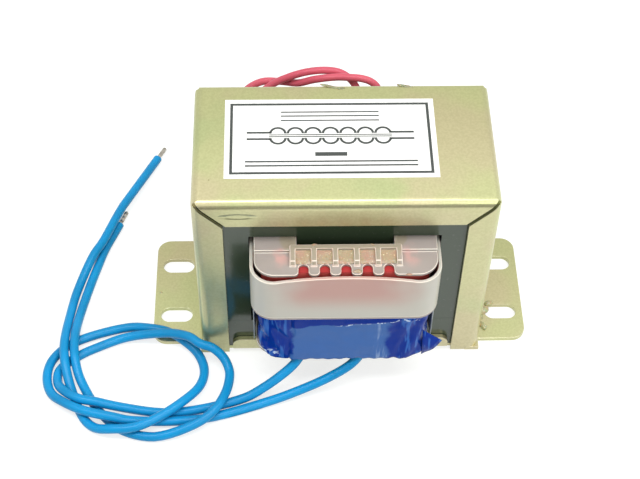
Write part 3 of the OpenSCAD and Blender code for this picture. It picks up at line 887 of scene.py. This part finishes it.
@dataclass
class Lead:
    """One insulated lead with its stripped and tinned end; only its length is in metres."""

    name: str
    finish: Finish
    slot: str
    diameter: float
    length: float
    lay: str
    route: Route
    node: Sequence[str]
    end_node: Sequence[str] = ()
    steps: int = 6
    core_share: float = 0.5
    tip: float = 6.0
    tip_share: float = 0.55
    wires: int = 7
    groove: float = 0.14
    twist: float = 0.22
    rings: int = 14
    sides: int = 21

    def build(self) -> None:
        line = Line(self.route, self.diameter / 2).drawn(self.steps)
        curve = bpy.data.curves.new(self.name, "CURVE")
        curve.dimensions = "3D"
        curve.bevel_depth = self.diameter / 2 * MM
        curve.bevel_resolution = 5
        curve.use_fill_caps = True
        spline = curve.splines.new("POLY")
        spline.points.add(len(line) - 1)
        for point, place in zip(spline.points, line):
            point.co = (*place, 1.0)
        spline.use_smooth = True
        piece = hang(bpy.data.objects.new(self.name, curve), [self.finish], self.node)
        strands = self.strands(line[-1], (line[-1] - line[-2]).normalized())

    def strands(self, start: Vector, heading: Vector) -> bpy.types.Object:
        """Make the twisted, tinned strands that stand out of the insulation.

        Args:
            start: Triple where the insulation ends.
            heading: Direction in which the strands go on.

        Returns:
            The new object.
        """
        piece = MeshPiece(self.name + "_strands", 1.0)
        bm = piece.bm
        radius = self.diameter * self.core_share / 2 * MM
        bmesh.ops.create_circle(bm, cap_ends=True, segments=self.sides, radius=radius)
        for vert in bm.verts:
            lobe = abs(math.sin(self.wires / 2 * math.atan2(vert.co.y, vert.co.x)))
            vert.co.xy *= 1 - self.groove + self.groove * lobe
        tip = bm.faces[:]
        step, twist = (0, 0, self.tip / self.rings * MM), Matrix.Rotation(self.twist, 3, "Z")
        for _ in range(self.rings):
            grown = bmesh.ops.extrude_face_region(bm, geom=tip)["geom"]
            ring = [v for v in grown if isinstance(v, bmesh.types.BMVert)]
            bmesh.ops.delete(bm, geom=tip, context="FACES")
            tip = [f for f in grown if isinstance(f, bmesh.types.BMFace)]
            bmesh.ops.translate(bm, verts=ring, vec=step)
            bmesh.ops.rotate(bm, verts=ring, matrix=twist)
        bmesh.ops.scale(bm, verts=ring, vec=(self.tip_share, self.tip_share, 1))
        turn = heading.to_track_quat("Z", "Y").to_matrix().to_4x4()
        bmesh.ops.transform(bm, matrix=Matrix.Translation(start) @ turn, verts=bm.verts)
        return piece.finish("tinned_copper", [TIN], self.end_node)


@dataclass
class Leads:
    """The secondary leads on the mounting surface and the primary leads coiled behind. The
    tails are counted from the coil's middle."""

    blue: float = 3.0
    red: float = 2.4
    coil_x: float = -16.0
    coil_y: float = 58.0
    coil_out: float = 6.2 * 2.4
    coil_entry: float = 8.6
    tie: float = 0.3
    per_turn: int = 24
    near_tail: Route = (
        (10.6, -2.4, 2.3), (9, -3.7, 1.6), (7.2, -4, 0.4), (5, -4, 0), (1, -4, 0),
    )  # fmt: skip
    far_tail: Route = ((-9.4, 2.6, 0), (-7.8, 3.6, 0), (-5.4, 4, 0), (-1, 4, 0))
    blue_long_route: Route = (
        (6.25, -33.6, 17.3), (6.25, -33.6, 16), (5.7, -34, 13.2),
        (2.6, -35.8, 9.8), (-4.5, -38.6, 6.6), (-13, -41, 3.6), (-23, -44, 1.8), (-44, -50, 1.5),
        (-66, -51.2, 2.9), (-72, -51, 5), (-81, -48.4, 4.7), (-87.5, -44.8, 3.8),
        (-92.2, -40.3, 2.1), (-94.1, -34.3, 1.5), (-93.4, -28.5, 1.5), (-90, -23.5, 1.5),
        (-84, -19.5, 1.5), (-69, -15.2, 1.8), (-61.5, -16.6, 3.2), (-56, -18, 3.1),
        (-50.5, -21.8, 3.1), (-46, -26.4, 2.3), (-44, -32, 1.8), (-45.2, -39, 3.2),
        (-51, -46.3, 4.9), (-58.7, -52, 5.1), (-65, -54.7, 4.8), (-71.5, -54.9, 4.3),
        (-77.5, -53, 1.9), (-81.2, -49.5, 1.5), (-85.3, -40.5, 1.6), (-87.3, -34.8, 3.2),
        (-88.5, -29.6, 4.8), (-89.2, -22.9, 4.6), (-88.5, -9, 1.9), (-87, 0.5, 1.5),
        (-82.5, 12.8, 4.2), (-79.7, 18.2, 4.6), (-73.7, 34.3, 4.4), (-63, 58.5, 1.5),
    )  # fmt: skip
    blue_short_route: Route = (
        (-12.5, -33.6, 17.3), (-12.5, -33.6, 16), (-13.1, -34.1, 13.2),
        (-15.4, -35.7, 10), (-19.7, -38.2, 7.2), (-25.4, -40.9, 4.3), (-31, -43, 2.2),
        (-47, -46.9, 1.5), (-57, -47.6, 1.5), (-71, -45.9, 2.8), (-77.5, -45.3, 4.8),
        (-83, -44, 4.8), (-87.6, -40.9, 4.2), (-90.4, -36.4, 2), (-90.3, -31.4, 1.5),
        (-84.5, -25.9, 1.5), (-78.5, -22.6, 1.5), (-70.5, -19.4, 1.8), (-62.3, -19.4, 4),
        (-54, -20.8, 6.3), (-48.6, -23.2, 7.6), (-45.2, -25.9, 7.8), (-41.2, -27.2, 7.2),
        (-37.6, -30, 5.4), (-35.8, -34.2, 4), (-36, -38.5, 4.1), (-37, -42.8, 4.8),
        (-39.8, -48.2, 4.9), (-45, -52.6, 4), (-59, -56.3, 1.5), (-69.3, -53.6, 1.5),
        (-77, -46.3, 1.5), (-81.8, -38.4, 1.7), (-84, -33.8, 2.9), (-85.5, -27.8, 4.7),
        (-86, -20.8, 4.7), (-85.2, -9, 1.9), (-80.3, 13, 1.5), (-78.5, 19, 1.5),
        (-74.8, 28.3, 1.5),
    )  # fmt: skip
    red_near_route: Route = (
        (12.5, 34.2, 56.2), (12.5, 34.2, 57.6), (12.7, 34.3, 59.6), (12, 34.6, 62.4),
        (9.8, 35.1, 64.5), (6.8, 35.5, 65.4), (3, 35.7, 65.7), (-1, 36, 65.6),
        (-8, 37.1, 63.4), (-13, 38.7, 60.3), (-18.5, 41.6, 58), (-24.5, 43.2, 56.4),
        (-29.6, 43.4, 52.6), (-32.6, 43.2, 46.5), (-33.7, 42.8, 38), (-33.8, 42.4, 26),
        (-33.4, 42.1, 16), (-33.1, 42, 10.4), (-32.8, 42.9, 7.1), (-32.1, 45, 4.8),
    )  # fmt: skip
    red_far_route: Route = (
        (6.25, 34.2, 56.2), (6.25, 34.2, 57.4), (6.1, 34.5, 59.4), (5.3, 35.6, 61.7),
        (3.4, 37.3, 63.5), (0.4, 38.8, 64.7), (-4, 39.3, 65.3), (-10, 39.4, 64.6),
        (-16, 39.5, 62.2), (-21.5, 39.8, 58.4), (-25.6, 40.2, 53), (-28, 40.4, 45),
        (-29.6, 40.9, 30), (-30.1, 41.4, 15), (-30.3, 41.6, 8.2), (-30.4, 42.4, 5),
        (-30.5, 44.6, 2.4),
    )  # fmt: skip

    def coiled(self, layer: float, turns: float) -> list[Triple]:
        """Return the points of a lead's flat coil, clockwise from the left and inwards.

        Args:
            layer: Number of the coil's layer, from 0 at the bottom.
            turns: How often the lead goes round.

        Returns:
            Points in millimetres, from the coil's entry.
        """
        height = self.tie + (layer + 0.5) * self.red
        left = self.coil_x - self.coil_out
        before = (self.coil_entry + 1, self.coil_entry, self.coil_entry / 2)
        route = [(left, self.coil_y - entry, height) for entry in before]
        for k in range(round(turns * self.per_turn) + 1):
            turn = k / self.per_turn
            radius = self.coil_out - turn * self.red
            angle = math.pi - 2 * math.pi * turn
            x, y = radius * math.cos(angle), radius * math.sin(angle)
            route.append((self.coil_x + x, self.coil_y + y, height))
        return route

    def tail(self, route: Route) -> list[Triple]:
        """Return the points of a tail at its place in the coil, in millimetres."""
        low = self.tie + self.red / 2
        return [(self.coil_x + x, self.coil_y + y, low + z) for x, y, z in route]

    def build(self) -> None:
        """Make the four leads and dress the tie."""
        blue = {
            "finish": BLUE_PVC, "slot": "blue_insulation", "diameter": self.blue, "lay": "loose",
        }  # fmt: skip
        red = {"finish": RED_PVC, "slot": "red_insulation", "diameter": self.red, "lay": "coiled"}
        near = [*self.red_near_route, *self.coiled(1, 1.5), *self.tail(self.near_tail)]
        far = [*self.red_far_route, *self.coiled(0, 2), *self.tail(self.far_tail)]
        for lead in (
            Lead("blue_lead_long_insulation", length=0.352, route=self.blue_long_route,
                 node=["blue_lead_long"], end_node=["blue_lead_ends"], **blue),
            Lead("blue_lead_short_insulation", length=0.299, route=self.blue_short_route,
                 node=["blue_lead_short"], **blue),
            Lead("red_lead_near_insulation", length=0.253, route=near,
                 node=["red_lead_near", "red_lead_coil"], **red),
            Lead("red_lead_far_insulation", length=0.277, route=far,
                 node=["red_lead_far", "red_lead_tails"], end_node=["red_lead_ends"], **red),
        ):  # fmt: skip
            lead.build()
        dress("coil_tie", TIE)


# ------------------------------------------------------------------------ sub-assemblies


@dataclass
class Clamp:
    """Folded channel and base plate, both of plated sheet steel."""

    easing: float = 0.22

    def build(self) -> None:
        """Ease the edges of the sheet metal."""
        for node, name in (("clamp_channel", "channel"), ("base_plate", "plate")):
            eased(node, name, "passivated_steel", [ZINC, ZINC_EDGE_HIGHLIGHT], self.easing)


@dataclass
class Core:
    """Stack of core sheets."""

    nodes: Sequence[str] = (
        "front_e_sheet", "front_i_sheet", "e_sheets", "i_sheets", "rear_e_sheet", "rear_i_sheet",
    )  # fmt: skip

    def build(self) -> None:
        """Dress every sheet."""
        for node in self.nodes:
            dress(node, CORE)


@dataclass
class Bobbin:
    """Bobbin with its covers, the resin in the combs and the windings."""

    easing: float = 0.18

    def build(self) -> None:
        """Ease the mouldings and dress what they hold."""
        eased("bobbin", "bobbin_moulding", "bobbin_plastic", [BOBBIN, NYLON_EDGE_HIGHLIGHT], self.easing)
        for side in ("front", "rear"):
            cover, name = side + "_cover", "cover_" + side
            eased(cover, name, "cover_plastic", [COVER, NYLON_EDGE_HIGHLIGHT], self.easing)
        dress("comb_adhesive", RESIN)
        dress("primary_winding", WIRE)
        dress("secondary_winding", WIRE)
        dress("primary_tape", RED_TAPE)
        dress("side_films", FILM)


def rise(edge: bmesh.types.BMEdge) -> float:
    """Return how much higher one end of an edge lies than the other."""
    return abs(edge.verts[0].co.z - edge.verts[1].co.z)


@dataclass(frozen=True)
class Fan:
    """Creases that fan out: where they start, how they turn across and up, and their depth."""

    start: float
    across: float
    up: float
    least: float
    depth: float
    trough: float

    def depth_at(self, x: float, z: float, inside: float) -> float:
        """Measure the creases.

        Args:
            x: Distance to the right of the middle, in millimetres.
            z: Height above the fan's foot, in millimetres.
            inside: Distance from the rim of the creased zone, in millimetres.

        Returns:
            How far they draw the tape in, in millimetres.
        """
        ray = math.sin(self.across * (x - self.start) + self.up * z)
        return (self.least + self.depth * max(ray, self.trough)) * min(inside / 3, 1)


@dataclass
class TapeWrap:
    """Lower winding's tape: a loose wrap with folds, hanging over the edge of its flange, with
    a pointed flap at the right where its end was pulled off."""

    film: float = 0.35
    flap_film: float = 0.2
    corner: float = 5.4
    cells: float = 0.8
    foot_z: float = 17.6
    edge_z: float = 14.1
    edge_waves: Sequence[tuple[float, float]] = ((0.25, 0.55), (0.2, 1.7))
    wrinkle: Triple = (0.5, 0.13, 0.1)
    fine: Triple = (0.16, 0.5, 0.35)
    fold_x: float = -16.4
    fold_w: float = 0.55
    fold_depth: float = 0.9
    fold_lean: float = 0.07
    end_x: float = 14.5
    fan_z: float = 14.0
    left_fan: Fan = Fan(-27.0, 0.9, 0.55, 0.35, 0.45, -0.4)
    right_fan: Fan = Fan(14.5, 1.1, -0.35, 0.3, 0.5, -0.5)
    hem_z: float = 33.4
    hem_slope: float = 0.09
    hem_w: float = 0.6
    hem_depth: float = 0.5
    room: float = 0.7
    slack: float = 0.1
    pull: float = 0.8
    rear_share: float = 0.5
    turn: float = 4.6
    turn_film: float = 0.1
    turn_z: float = 0.06
    curl: float = 0.5
    flap: Route = ((24.4, -35.1, 27), (31, -33.9, 19.6), (24.8, -35, 13.4))

    def relief(self, x: float, z: float) -> float:
        """Shape the tape's front: wrinkles all over, one fold at the left, rays that fan out
        over both ends, and a hem that stands proud at the upper right.

        Args:
            x: Distance to the right of the middle, in millimetres.
            z: Height in millimetres.

        Returns:
            How far the tape is drawn in there, in millimetres.
        """
        drawn = 0.0
        for row, (depth, across, up) in enumerate((self.wrinkle, self.fine)):
            drawn += depth * noise.noise(Vector((x * across, 3.0 * row, z * up)))
        lean = self.fold_x + self.fold_lean * (z - 25) + 0.5 * math.sin(z * 0.5)
        drawn += self.fold_depth * math.exp(-(((x - lean) / self.fold_w) ** 2))
        if x < lean:
            drawn += self.left_fan.depth_at(x, z - self.fan_z, lean - x)
        if x > self.end_x:
            drawn += self.right_fan.depth_at(x, z - self.fan_z, x - self.end_x)
        above = (z - self.hem_z - self.hem_slope * x) / self.hem_w
        return drawn - (self.hem_depth * math.exp(-(above**2)) if x > 0 else 0.0)

    def lower(self, x: float) -> float:
        """Return the height of the tape's lower edge: wavy, and higher towards both ends."""
        edge = self.edge_z + sum(depth * math.sin(turn * x) for depth, turn in self.edge_waves)
        return edge + 1.5 * max(0.0, (abs(x) - 16.5) / 9) ** 1.4 + 2.6 * max(0.0, (-x - 21) / 4)

    def build(self) -> None:
        """Wrap the tape round the winding, and add the flap and the red tape's edges."""
        low, high = (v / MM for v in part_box("secondary_tape"))
        size = high - low
        piece = MeshPiece("tape_wrap")
        bm = piece.bm
        piece.block(size, (low + high) / 2)
        upright = [e for e in bm.edges if rise(e) > 1]
        bmesh.ops.bevel(
            bm, geom=upright, offset=self.corner, segments=7, profile=0.5, affect="EDGES",
            material=-1,
        )  # fmt: skip
        caps = [f for f in bm.faces if abs(f.normal.z) > 0.5]
        bmesh.ops.delete(bm, geom=caps, context="FACES")
        level = [e for e in bm.edges if e.calc_length() > 3 * self.cells and rise(e) < 1]
        cuts = round(size.x / self.cells)
        bmesh.ops.subdivide_edges(bm, edges=level, cuts=cuts, use_grid_fill=True)
        upright = [e for e in bm.edges if rise(e) > 1]
        cuts = round(size.z / self.cells)
        bmesh.ops.subdivide_edges(bm, edges=upright, cuts=cuts, use_grid_fill=True)
        bm.normal_update()
        for vert in bm.verts:
            x, y, z = vert.co
            base = self.lower(x) if abs(y) > high.y - self.corner else self.foot_z
            vert.co.z = base + (z - low.z) / size.z * (high.z - self.slack - base)
            drawn = self.relief(x if y < 0 else -x, vert.co.z) * self.pull + self.slack
            vert.co -= vert.normal * (1 if y < 0 else self.rear_share) * min(drawn, self.room)
        wrap = piece.finish("blue_tape", [BLUE_TAPE], ["secondary_tape"], smooth=60)
        skin = wrap.modifiers.new("Film", "SOLIDIFY")
        skin.thickness, skin.offset = self.film * MM, -1
        self.torn_end()
        self.turned_in()

    def turned_in(self) -> None:
        """Lay the red tape's turned-in edge on the upper winding, seen through the combs."""
        _, high = (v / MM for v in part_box("primary_tape"))
        for side, name in ((-1, "front"), (1, "rear")):
            piece = MeshPiece("red_tape_edge_" + name)
            size = (2 * (high.x - self.corner), self.turn, self.turn_film)
            piece.block(size, (0, side * (high.y - self.turn / 2), high.z + self.turn_z))
            bmesh.ops.subdivide_edges(piece.bm, edges=piece.bm.edges, cuts=5, use_grid_fill=True)
            piece.finish("red_tape", [RED_TURN], smooth=30)

    def torn_end(self) -> None:
        """Make the pointed flap from a flat triangle with a slight curl."""
        piece = MeshPiece("tape_flap")
        bm = piece.bm
        bmesh.ops.create_circle(bm, cap_ends=True, cap_tris=False, segments=3, radius=1.0)
        for vert, place in zip(bm.verts, self.flap):
            vert.co = place
        bmesh.ops.subdivide_edges(bm, edges=bm.edges, cuts=6, use_grid_fill=True)
        for vert in bm.verts:
            vert.co.y -= self.curl * math.sin(0.45 * (vert.co.x + vert.co.z))
        flap = piece.finish("blue_tape", [BLUE_TAPE], smooth=60)
        skin = flap.modifiers.new("Film", "SOLIDIFY")
        skin.thickness, skin.offset = self.flap_film * MM, 0


@dataclass
class RatingPlate:
    """Paper label with a ruled border, plain rows and a drawing of two coils on a core. Each
    row is its height above the middle, its share of the width, and its own depth."""

    inset: float = 2.0
    rule: float = 0.85
    ink: float = 0.02
    bump_r: float = 2.6
    bumps: int = 7
    line_w: float = 0.75
    core_w: float = 0.36
    gap: float = 0.9
    lead: float = 7.0
    symbol_y: float = 0.9
    rows: Sequence[Triple] = (
        (10.4, 0.5, 0.5), (8.8, 0.5, 0.5), (7.0, 0.5, 0.5), (-6.4, 0.16, 1.5),
        (-9.2, 0.86, 0.6), (-10.8, 0.86, 0.6),
    )  # fmt: skip

    def arc(self, bm: bmesh.types.BMesh, x: float, y: float, side: int) -> None:
        """Print one turn of a coil as a half ring that opens up or down.

        Args:
            bm: Mesh of the print.
            x: Middle of the ring across the label, in millimetres.
            y: Middle of the ring up the label, in millimetres.
            side: 1 for a turn that bulges upwards, -1 for one that bulges downwards.
        """
        known = set(bm.faces)
        made = bmesh.ops.create_circle(bm, cap_ends=True, segments=28, radius=self.bump_r)
        disc = made["verts"][0].link_faces[:]
        bmesh.ops.inset_region(
            bm, faces=disc, thickness=self.line_w, use_boundary=True, use_even_offset=True
        )
        bmesh.ops.delete(bm, geom=disc, context="FACES")
        ring = [f for f in bm.faces if f not in known]
        geom = ring + list({e for f in ring for e in f.edges} | {v for f in ring for v in f.verts})
        bmesh.ops.bisect_plane(
            bm, geom=geom, plane_co=(0, 0, 0), plane_no=(0, -side, 0), clear_outer=True
        )
        half = [f for f in bm.faces if f not in known]
        grown = bmesh.ops.extrude_face_region(bm, geom=half, use_keep_orig=True)["geom"]
        upper = [g for g in grown if isinstance(g, bmesh.types.BMVert)]
        bmesh.ops.translate(bm, verts=upper, vec=(0, 0, self.ink / 2))
        turn = {v for f in bm.faces if f not in known for v in f.verts}
        bmesh.ops.translate(bm, verts=list(turn), vec=(x, y, 0))

    def build(self) -> None:
        """Dress the paper and print on it."""
        dress("label", PAPER)
        low, high = (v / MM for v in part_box("label"))
        middle = (low + high) / 2
        half_w = (high.x - low.x) / 2 - self.inset
        half_d = (high.y - low.y) / 2 - self.inset
        reach = self.bumps * self.bump_r
        piece = MeshPiece("label_print")
        bars = []
        for side in (-1, 1):
            bars += [
                (0, side * half_d, 2 * half_w + self.rule, self.rule),
                (side * half_w, 0, self.rule, 2 * half_d - self.rule),
                (0, self.symbol_y + side * self.core_w, 2 * reach, self.core_w),
            ]
            coil_y = self.symbol_y + side * (self.gap + self.line_w / 2)
            for end in (-1, 1):
                end_x = end * (reach + self.lead / 2 - self.line_w / 2)
                bars.append((end_x, coil_y, self.lead, self.line_w))
            for k in range(self.bumps):
                turn = 2 * self.bump_r * (k - (self.bumps - 1) / 2)
                self.arc(piece.bm, turn, self.symbol_y + side * self.gap, side)
        bars += [(0, y, 2 * half_w * share, depth) for y, share, depth in self.rows]
        for x, y, width, depth in bars:
            piece.block((width, depth, self.ink), (x, y, 0))
        place = (middle.x, middle.y, high.z + self.ink / 2)
        bmesh.ops.translate(piece.bm, verts=piece.bm.verts, vec=place)
        piece.finish("label_paper", [INK], smooth=30)


class Mark(Enum):
    """Small set drops: place, half sizes and turn about Z in millimetres and degrees, and
    what they are of."""

    FOOT_A = ((48.3, -9.6, 1.5), (1.8, 1.2, 1.1), 40, DROP)
    FOOT_B = ((47.3, -15.8, 1.5), (1.9, 1.0, 1.0), -60, DROP)
    FOOT_C = ((50.2, -6.9, 1.5), (1.6, 1.0, 0.9), 10, DROP)
    FOOT_D = ((46.9, -12.4, 1.5), (1.0, 0.8, 0.8), 70, DROP)
    FOOT_E = ((-59.2, -1.0, 1.5), (0.5, 0.4, 0.2), 0, DROP)
    TOP_A = ((-3.2, 22.4, 75.3), (3.4, 0.5, 0.35), -18, CRUST)
    TOP_B = ((-0.2, 21.6, 75.4), (1.3, 0.4, 0.3), 12, CRUST)
    TOP_C = ((19.2, 22.6, 75.2), (2.6, 0.45, 0.3), -12, CRUST)
    TOOTH = ((3.2, -34.6, 57.3), (1.3, 0.8, 0.6), 0, RESIN)
    NIB = ((18.1, -35.9, 57.4), (0.9, 0.35, 0.35), 0, RESIN)
    BAR_A = ((-9.5, -26.2, 59.2), (1.0, 0.5, 0.25), 20, RESIN)
    BAR_B = ((8.0, -26.4, 59.2), (0.8, 0.45, 0.25), -30, RESIN)


@dataclass
class Drops:
    """Varnish and resin that has run, dripped and set."""

    rough: float = 0.35
    swell: float = 1.3
    smoothness: int = 3

    def build(self) -> None:
        """Make every drop as a squashed, uneven ball."""
        for mark in Mark:
            place, half, turn, finish = mark.value
            piece = MeshPiece("drop_" + mark.name.lower())
            bm = piece.bm
            bmesh.ops.create_icosphere(bm, subdivisions=self.smoothness, radius=1.0)
            for vert in bm.verts:
                uneven = noise.noise(vert.co * self.swell + Vector(place))
                vert.co *= 1 + self.rough * uneven
            bmesh.ops.scale(bm, verts=bm.verts, vec=half)
            turned = Matrix.Rotation(math.radians(turn), 3, "Z")
            bmesh.ops.rotate(bm, verts=bm.verts, matrix=turned)
            bmesh.ops.translate(bm, verts=bm.verts, vec=place)
            piece.finish("adhesive", [finish], smooth=80)


# -------------------------------------------------------------------------------- stage


class Lamp(Enum):
    """Soft lamps: place, aim, width and depth in metres and power in watts."""

    OVERHEAD = ((0.12, 0.35, 1.0), (0.0, 0.0, 0.0), 1.0, 1.0, 0.2)
    STRIP = ((0.0, -0.1, 0.8), (0.0, -0.02, 0.05), 1.1, 0.26, 6.0)
    FRONT = ((0.5, -0.8, 0.7), (0.0, 0.0, 0.03), 0.6, 0.6, 3.6)


class Card(Enum):
    """Dark cards: width and depth, place in metres and tilt in degrees."""

    BEFORE = ((1.6, 0.26), (0.0, -0.42, 0.13), 90.0)
    # BESIDE lies on the floor before the left of the core: seen only in reflections, a painted dark
    # reflection
    BESIDE = ((0.011, 0.03), (-0.0305, -0.05, 0.0006), 0.0)


@dataclass
class Stage:
    """Camera, lamps, world, floor and cards."""

    camera_place: Triple = (-18.947, -283.103, 391.33)
    camera_turn: Triple = (-2.5291, 37.9742, 1.4573)
    lens: float = 80.64
    floor: float = 8.0
    world: float = 0.65
    paper: str = "C8CAC8"
    dim: str = "A4A6A4"
    light: str = "FFFFFF"
    lift: float = 0.7

    def camera(self) -> None:
        """Put the camera where the work is seen from."""
        data = bpy.data.cameras.new("camera")
        data.lens, data.sensor_width = self.lens, 36.0
        data.clip_start, data.clip_end = 0.01, 20.0
        turn = Matrix.Identity(4)
        for angle, axis in zip(self.camera_turn, "ZXZ"):
            turn = turn @ Matrix.Rotation(math.radians(angle), 4, axis)
        camera = bpy.data.objects.new("camera", data)
        camera.matrix_world = Matrix.Translation(Vector(self.camera_place) * MM) @ turn
        bpy.context.scene.collection.objects.link(camera)
        bpy.context.scene.camera = camera

    def lamps(self) -> None:
        """Hang the soft lamps."""
        for lamp in Lamp:
            place, aim, width, depth, power = lamp.value
            data = bpy.data.lights.new(lamp.name.lower(), "AREA")
            data.shape, data.size, data.size_y, data.energy = "RECTANGLE", width, depth, power
            light = bpy.data.objects.new(lamp.name.lower(), data)
            light.location = place
            light.rotation_euler = (Vector(aim) - Vector(place)).to_track_quat("-Z", "Y").to_euler()
            bpy.context.scene.collection.objects.link(light)

    def seen(self, mix: Recipe, *kinds: str) -> Socket:
        """Tell the rays that show the plain background from those that light the object.

        Args:
            mix: Node tree of the floor or the world.
            kinds: Kinds of ray beside the camera's: Glossy or Transmission.

        Returns:
            1 for a ray that shows the background.
        """
        rays = mix.add("LightPath")
        seen = rays["Is Camera Ray"]
        for kind in kinds:
            pair = {0: seen, 1: rays[f"Is {kind} Ray"]}
            seen = mix.add("Math", pair, operation="MAXIMUM")[0]
        return seen

    def sky(self) -> None:
        """Light the world softly, and show it white."""
        world = bpy.data.worlds.new("Studio")
        bpy.context.scene.world = world
        mix = Recipe(world)
        seen = self.seen(mix, "Glossy", "Transmission")
        strength = mix.add("MapRange", {0: seen, 3: self.world, 4: 1.0})[0]
        mix.add("OutputWorld", {0: mix.add("Background", {0: self.light, 1: strength})[0]})
        bpy.context.scene.view_settings.view_transform = "Standard"

    def sheet(
        self, name: str, size: tuple[float, float], place: Triple, tilt: float,
        material: bpy.types.Material,
    ) -> bpy.types.Object:  # fmt: skip
        """Set up a flat sheet.

        Args:
            name: Name of the sheet.
            size: Width and depth in metres.
            place: Middle of the sheet in metres.
            tilt: Turn about X in degrees.
            material: Material of the sheet.

        Returns:
            The new object.
        """
        bm = bmesh.new()
        bmesh.ops.create_grid(bm, x_segments=1, y_segments=1, size=0.5)
        bmesh.ops.scale(bm, verts=bm.verts, vec=(*size, 1))
        turn = Matrix.Rotation(math.radians(tilt), 3, "X")
        bmesh.ops.rotate(bm, verts=bm.verts, matrix=turn)
        bmesh.ops.translate(bm, verts=bm.verts, vec=place)
        mesh = bpy.data.meshes.new(name)
        bm.to_mesh(mesh)
        bm.free()
        mesh.materials.append(material)
        sheet = bpy.data.objects.new(name, mesh)
        bpy.context.scene.collection.objects.link(sheet)
        return sheet

    def ground(self) -> None:
        """Lay the pale floor, which keeps the object's shadow."""
        material = bpy.data.materials.new("Pale floor")
        mix = Recipe(material)
        paper = mix.add("BsdfDiffuse", {0: self.paper})[0]
        dim = mix.add("BsdfDiffuse", {0: self.dim})[0]
        glow = mix.add("Emission", {0: self.light, 1: self.lift})[0]
        brightened = mix.add("AddShader", {0: dim, 1: glow})[0]
        both = {0: self.seen(mix, "Glossy"), 1: paper, 2: brightened}
        mix.add("OutputMaterial", {0: mix.add("MixShader", both)[0]})
        floor = self.sheet("floor", (self.floor, self.floor), (0.0, 0.0, 0.0), 0.0, material)

    def flags(self) -> None:
        """Set up the dark cards, seen only in the object's glossy surfaces."""
        for number, card in enumerate(Card):
            size, place, tilt = card.value
            flag = self.sheet(f"flag_{number}", size, place, tilt, CARD.material())
            for kind in ("camera", "diffuse", "shadow", "transmission", "volume_scatter"):
                setattr(flag, "visible_" + kind, False)

    def build(self) -> None:
        """Set up the whole stage."""
        self.camera()
        self.lamps()
        self.sky()
        self.ground()
        self.flags()


def main() -> None:
    """Build the stage and the sub-assemblies in order."""
    logging.basicConfig(level=logging.INFO, format="%(name)s: %(message)s")
    builders: list[Callable[[], None]] = [
        Stage().build,
        Leads().build,
        Clamp().build,
        Core().build,
        Bobbin().build,
        TapeWrap().build,
        RatingPlate().build,
        Drops().build,
    ]
    for build in builders:
        build()


if __name__ == "__main__":
    main()
